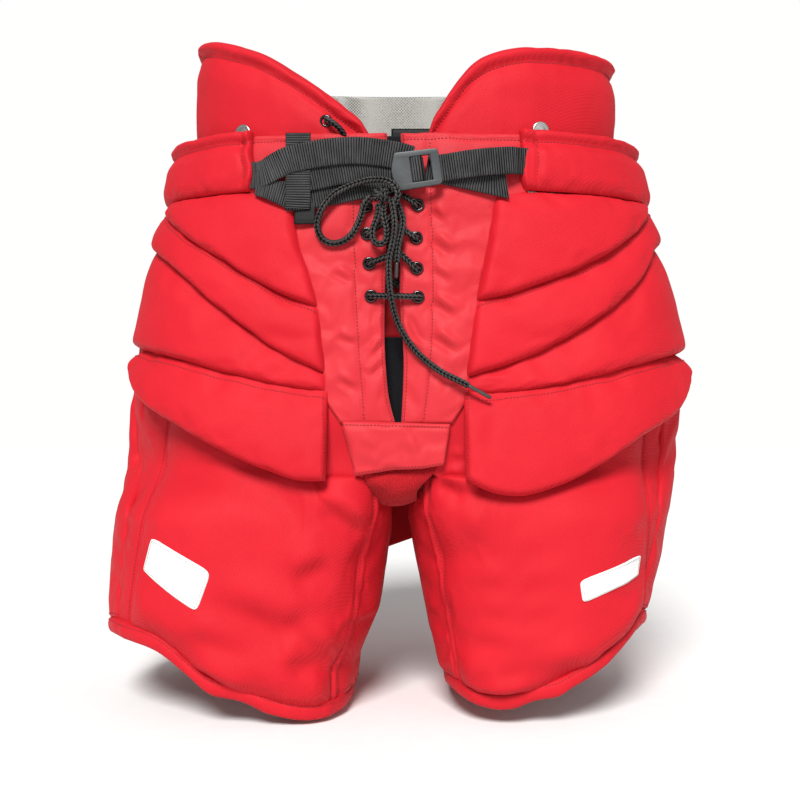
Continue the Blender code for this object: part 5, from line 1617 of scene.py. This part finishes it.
def buckle():
    """A moulded ladder buckle: a rounded plate with a window, bulged on its left, and webbing round its bar."""
    tilt = math.radians(-8)
    data = bpy.data.curves.new("buckle_frame", "CURVE")
    data.dimensions = "2D"
    data.fill_mode = "BOTH"
    data.extrude = 0.0017
    data.bevel_depth = 0.0008
    data.bevel_resolution = 3
    half_w, half_h = 0.0204, 0.0170

    def rounded(corners, radius, bulge=0.0):
        points = []
        count = len(corners)
        for k, corner in enumerate(corners):
            before, after = Vector(corners[k - 1]), Vector(corners[(k + 1) % count])
            here = Vector(corner)
            first = here + (before - here).normalized() * radius
            second = here + (after - here).normalized() * radius
            for t in (k / 6 for k in range(7)):
                points.append((1 - t) ** 2 * first + 2 * t * (1 - t) * here + t * t * second)
            if bulge and k == 3:
                for t in (0.1 * k for k in range(1, 10)):
                    spot = second.lerp(Vector(corners[0]) + (here - Vector(corners[0])).normalized() * radius, t)
                    points.append(spot + Vector((-bulge * math.sin(math.pi * t), 0)))
        return points

    outline = rounded([(-half_w, -half_h), (half_w, -half_h * 0.94), (half_w, half_h * 0.94), (-half_w, half_h)],
                      0.0036, bulge=0.0034)
    window = rounded([(-0.0072, -0.0127), (0.0136, -0.0127), (0.0136, 0.0127), (-0.0072, 0.0127)], 0.0014)
    for ring in (outline, window):
        spline = data.splines.new("POLY")
        spline.points.add(len(ring) - 1)
        for point, spot in zip(spline.points, ring):
            point.co = (spot.x, spot.y, 0, 1)
        spline.use_cyclic_u = True
    frame_piece = bpy.data.objects.new("buckle_frame", data)
    data.materials.append(BUCKLE)
    bpy.context.scene.collection.objects.link(frame_piece)
    frame_piece.rotation_euler = (math.radians(90), 0, 0)
    bpy.context.view_layer.update()
    ready = bpy.context.evaluated_depsgraph_get()
    mesh = bpy.data.meshes.new_from_object(frame_piece.evaluated_get(ready))
    mesh.transform(frame_piece.matrix_world)
    bpy.data.objects.remove(frame_piece)
    face_outwards(mesh, merge=0.00002)
    turn = np.array([[math.cos(tilt), 0, math.sin(tilt)], [0, 1, 0], [-math.sin(tilt), 0, math.cos(tilt)]])
    centre = np.array([0.0165, -0.1564, 0.5209])
    points = mesh_points(mesh) @ turn.T + centre
    mesh.vertices.foreach_set("co", points.astype(np.float32).ravel())
    mesh.set_sharp_from_angle(angle=math.radians(50))
    body = bpy.data.objects.new("buckle_frame", mesh)
    bpy.context.scene.collection.objects.link(body)
    settle(body, "buckle", "buckle_plastic", "buckle")

    def local(x, y, z):
        return tuple(turn @ np.array([x, y, z]) + centre)

    bar = plain_tube("buckle_bar", [local(-0.0008, 0.0010, z) for z in (-0.0140, 0.0, 0.0140)], 0.0016, BUCKLE)
    settle(bar, "buckle", "buckle_plastic")
    across = turn @ np.array([0.0, 0.0, 1.0])
    path = [local(x, y, 0) for x, y in ((-0.0105, 0.0046), (-0.0062, 0.0020), (-0.0040, -0.0006),
                                        (-0.0010, -0.0016), (0.0028, -0.0008), (0.0046, 0.0020),
                                        (0.0052, 0.0050))]
    webbing("buckle_wrap_web", path, 0.0238, upright=tuple(across), body="buckle")


# ---------------------------------------------------------------- eyelets, buttons, tape
BUTTON_PROFILE = ((0.0, 0.0014), (0.0045, 0.0013), (0.0058, 0.0008), (0.0068, 0.0012), (0.0080, 0.0013),
                  (0.0085, 0.0006), (0.0085, -0.0006), (0.0078, -0.0010), (0.0, -0.0010))
EYELET_PROFILE = ((0.0040, 0.0002), (0.0040, -0.0060), (0.0036, -0.0062), (0.0035, 0.0006), (0.0039, 0.0017),
                  (0.0047, 0.0022), (0.0056, 0.0018), (0.0062, 0.0008), (0.0063, 0.0002))


def lathe(name, profile, centre, normal, made_of, steps=40):
    """A ring or disc turned about the normal; the profile is (radius, height) and closes on itself."""
    axis = np.array(normal, float) / np.linalg.norm(normal)
    side = unit(np.cross(axis, [0.0, 0.0, 1.0]))
    other = np.cross(axis, side)
    angle = np.linspace(0, 2 * math.pi, steps, endpoint=False)
    rows = [np.array(centre) + axis * h + (side * np.cos(angle)[:, None] + other * np.sin(angle)[:, None]) * r
            for r, h in profile]
    closed = profile[0][0] > 0
    rings = np.array(rows)
    count = len(profile)
    faces = grid_faces(count, steps, wrap=True)
    if closed:
        faces += [((count - 1) * steps + j, j, (j + 1) % steps, (count - 1) * steps + (j + 1) % steps)
                  for j in range(steps)]
    piece = make(name, rings, faces, made_of)
    face_outwards(piece.data, merge=0.00001)
    return piece


def on_surface(name, spot):
    """The nearest point of a finished piece's surface."""
    return np.array(tree_of(bpy.data.objects[name]).find_nearest(Vector(spot))[0])


def girdle_normal(side, u, z):
    step = 0.01
    way = girdle(side, np.float64(u + step), z) - girdle(side, np.float64(u - step), z)
    return unit(np.cross([0, 0, 1.0], way)) * -SIDES[side]


def hardware():
    """The fly's eyelets, the brace buttons and the wing's eyelet."""
    for side in SIDES:
        for number, (x, z) in enumerate(zip(EYELET_X[side], EYELETS[side]), 1):
            step = 0.004  # over which the fly's slope is taken
            right = front(np.float64(x + step), z) - front(np.float64(x - step), z)
            up = front(np.float64(x), z + step) - front(np.float64(x), z - step)
            normal = unit(np.cross(right, up))
            centre = front(np.float64(x), z, -FLY_INSET) + normal * 0.0002
            piece = lathe(f"grommet_{side}_{number}", EYELET_PROFILE, centre, normal, ENAMEL)
            settle(piece, "girdle", "eyelet_enamel", f"eyelet_{side}_{number}")
        u = BUTTON_PLACE[side]
        normal = girdle_normal(side, u, BUTTON_HEIGHT)
        centre = on_surface(f"wing_cover_{side}", girdle(side, np.float64(u), BUTTON_HEIGHT, 0.012))
        centre = centre + normal * 0.0012
        button = lathe(f"brace_button_{side}", BUTTON_PROFILE, centre, normal, SILVER, steps=56)
        settle(button, f"button_{side}", "button_metal", f"suspender_button_{side}")
    u, z = WING_EYELET
    centre = on_surface("wing_cover_left", girdle("left", np.float64(u), z, 0.012))
    profile = [(r, max(h, -0.0015)) for r, h in EYELET_PROFILE]
    piece = lathe("grommet_wing", profile, centre, girdle_normal("left", u, z), ENAMEL)
    settle(piece, "wing_left", "eyelet_enamel", "eyelet_wing")


def tape():
    """A plain black tape inside the back waist."""
    around = around_back(0.88)
    panel = Panel(lambda a, b: around(0.42 + 0.58 * (1 - a), 0.597 + 0.022 * b, -0.0172), (0.08, 0.022), flip=False,
                  spacing=0.003, ends=0.1)
    piece = pad("waist_tape", panel, TAPE, 0.0016, 0.0, rolls=(0.001,) * 4)
    settle(piece, "girdle", "black_fabric")


# ---------------------------------------------------------------- stage
CAMERA_LENS = 53.1  # on a sensor 36 mm wide
CAMERA_DISTANCE = 1.25
CAMERA_HEIGHT = 0.307
LAMPS = (  # name, kind, place, aim, size (an angle for the sun), power
    ("key", "SUN", (-0.14, -1.0, 1.15), (0, 0, 0.30), math.radians(20), 4.4),
    ("fill", "AREA", (1.5, -1.8, 1.3), (0, 0, 0.3), 1.2, 4.0),
)
AMBIENT_LIGHT = 0.38  # the background itself shows at full strength


def stage():
    """The pale floor, the studio light and the camera."""
    floor = make("floor", [(-6, -6, -0.0006), (6, -6, -0.0006), (6, 6, -0.0006), (-6, 6, -0.0006)], [(0, 1, 2, 3)],
                 speckled("pale_floor", (0.88, 0.875, 0.865), (0.85, 0.845, 0.83), 0.8, scale=60.0, bump=0.02,
                          Specular_IOR_Level=0.1))
    world = bpy.data.worlds.new("studio")
    bpy.context.scene.world = world
    world.use_nodes = True
    tree = world.node_tree
    background = tree.nodes["Background"]
    background.inputs["Color"].default_value = (1.0, 0.998, 0.994, 1)
    path = add(tree, "ShaderNodeLightPath")
    power = add(tree, "ShaderNodeMapRange", To_Min=AMBIENT_LIGHT, To_Max=1.0)
    tree.links.new(path.outputs["Is Camera Ray"], power.inputs["Value"])
    tree.links.new(power.outputs[0], background.inputs["Strength"])
    for name, kind, place, aim, size, power in LAMPS:
        lamp = bpy.data.lights.new(name, kind)
        if kind == "SUN":
            lamp.angle = size
        else:
            lamp.size = size
        lamp.energy = power
        holder = bpy.data.objects.new(name, lamp)
        holder.location = place
        holder.rotation_euler = (Vector(aim) - Vector(place)).to_track_quat("-Z", "Y").to_euler()
        bpy.context.scene.collection.objects.link(holder)
    lens = bpy.data.cameras.new("camera")
    lens.sensor_width = 36.0
    lens.lens = CAMERA_LENS
    camera = bpy.data.objects.new("camera", lens)
    camera.location = (0.0, -CAMERA_DISTANCE, CAMERA_HEIGHT)
    camera.rotation_euler = (math.radians(90), 0, 0)
    bpy.context.scene.collection.objects.link(camera)
    bpy.context.scene.camera = camera
    bpy.context.scene.view_settings.view_transform = "Standard"


def build():
    stage()
    cords()
    held_laces()
    for side in SIDES:
        wing(side)
        kidney(side)
        belt(side)
        hip_pads(side)
        seat(side)
        fly(side)
        groin(side)
        thigh(side)
        leg_wrap(side)
        hem(side)
        plate = frame["nodes"][f"thigh_plate_{side}"]
        plate.data.materials.clear()
        plate.data.materials.append(PLASTIC)
    spine()
    liner()
    inner_band()
    tailbone()
    seat_lining()
    tongue()
    crotch()
    gusset()
    bridge()
    run_cloth()
    finish_pieces()
    straps()
    buckle()
    hardware()
    tape()
    for side in SIDES:
        patch(side)
    for job in LATER:
        job()


build()
bpy.context.view_layer.update()
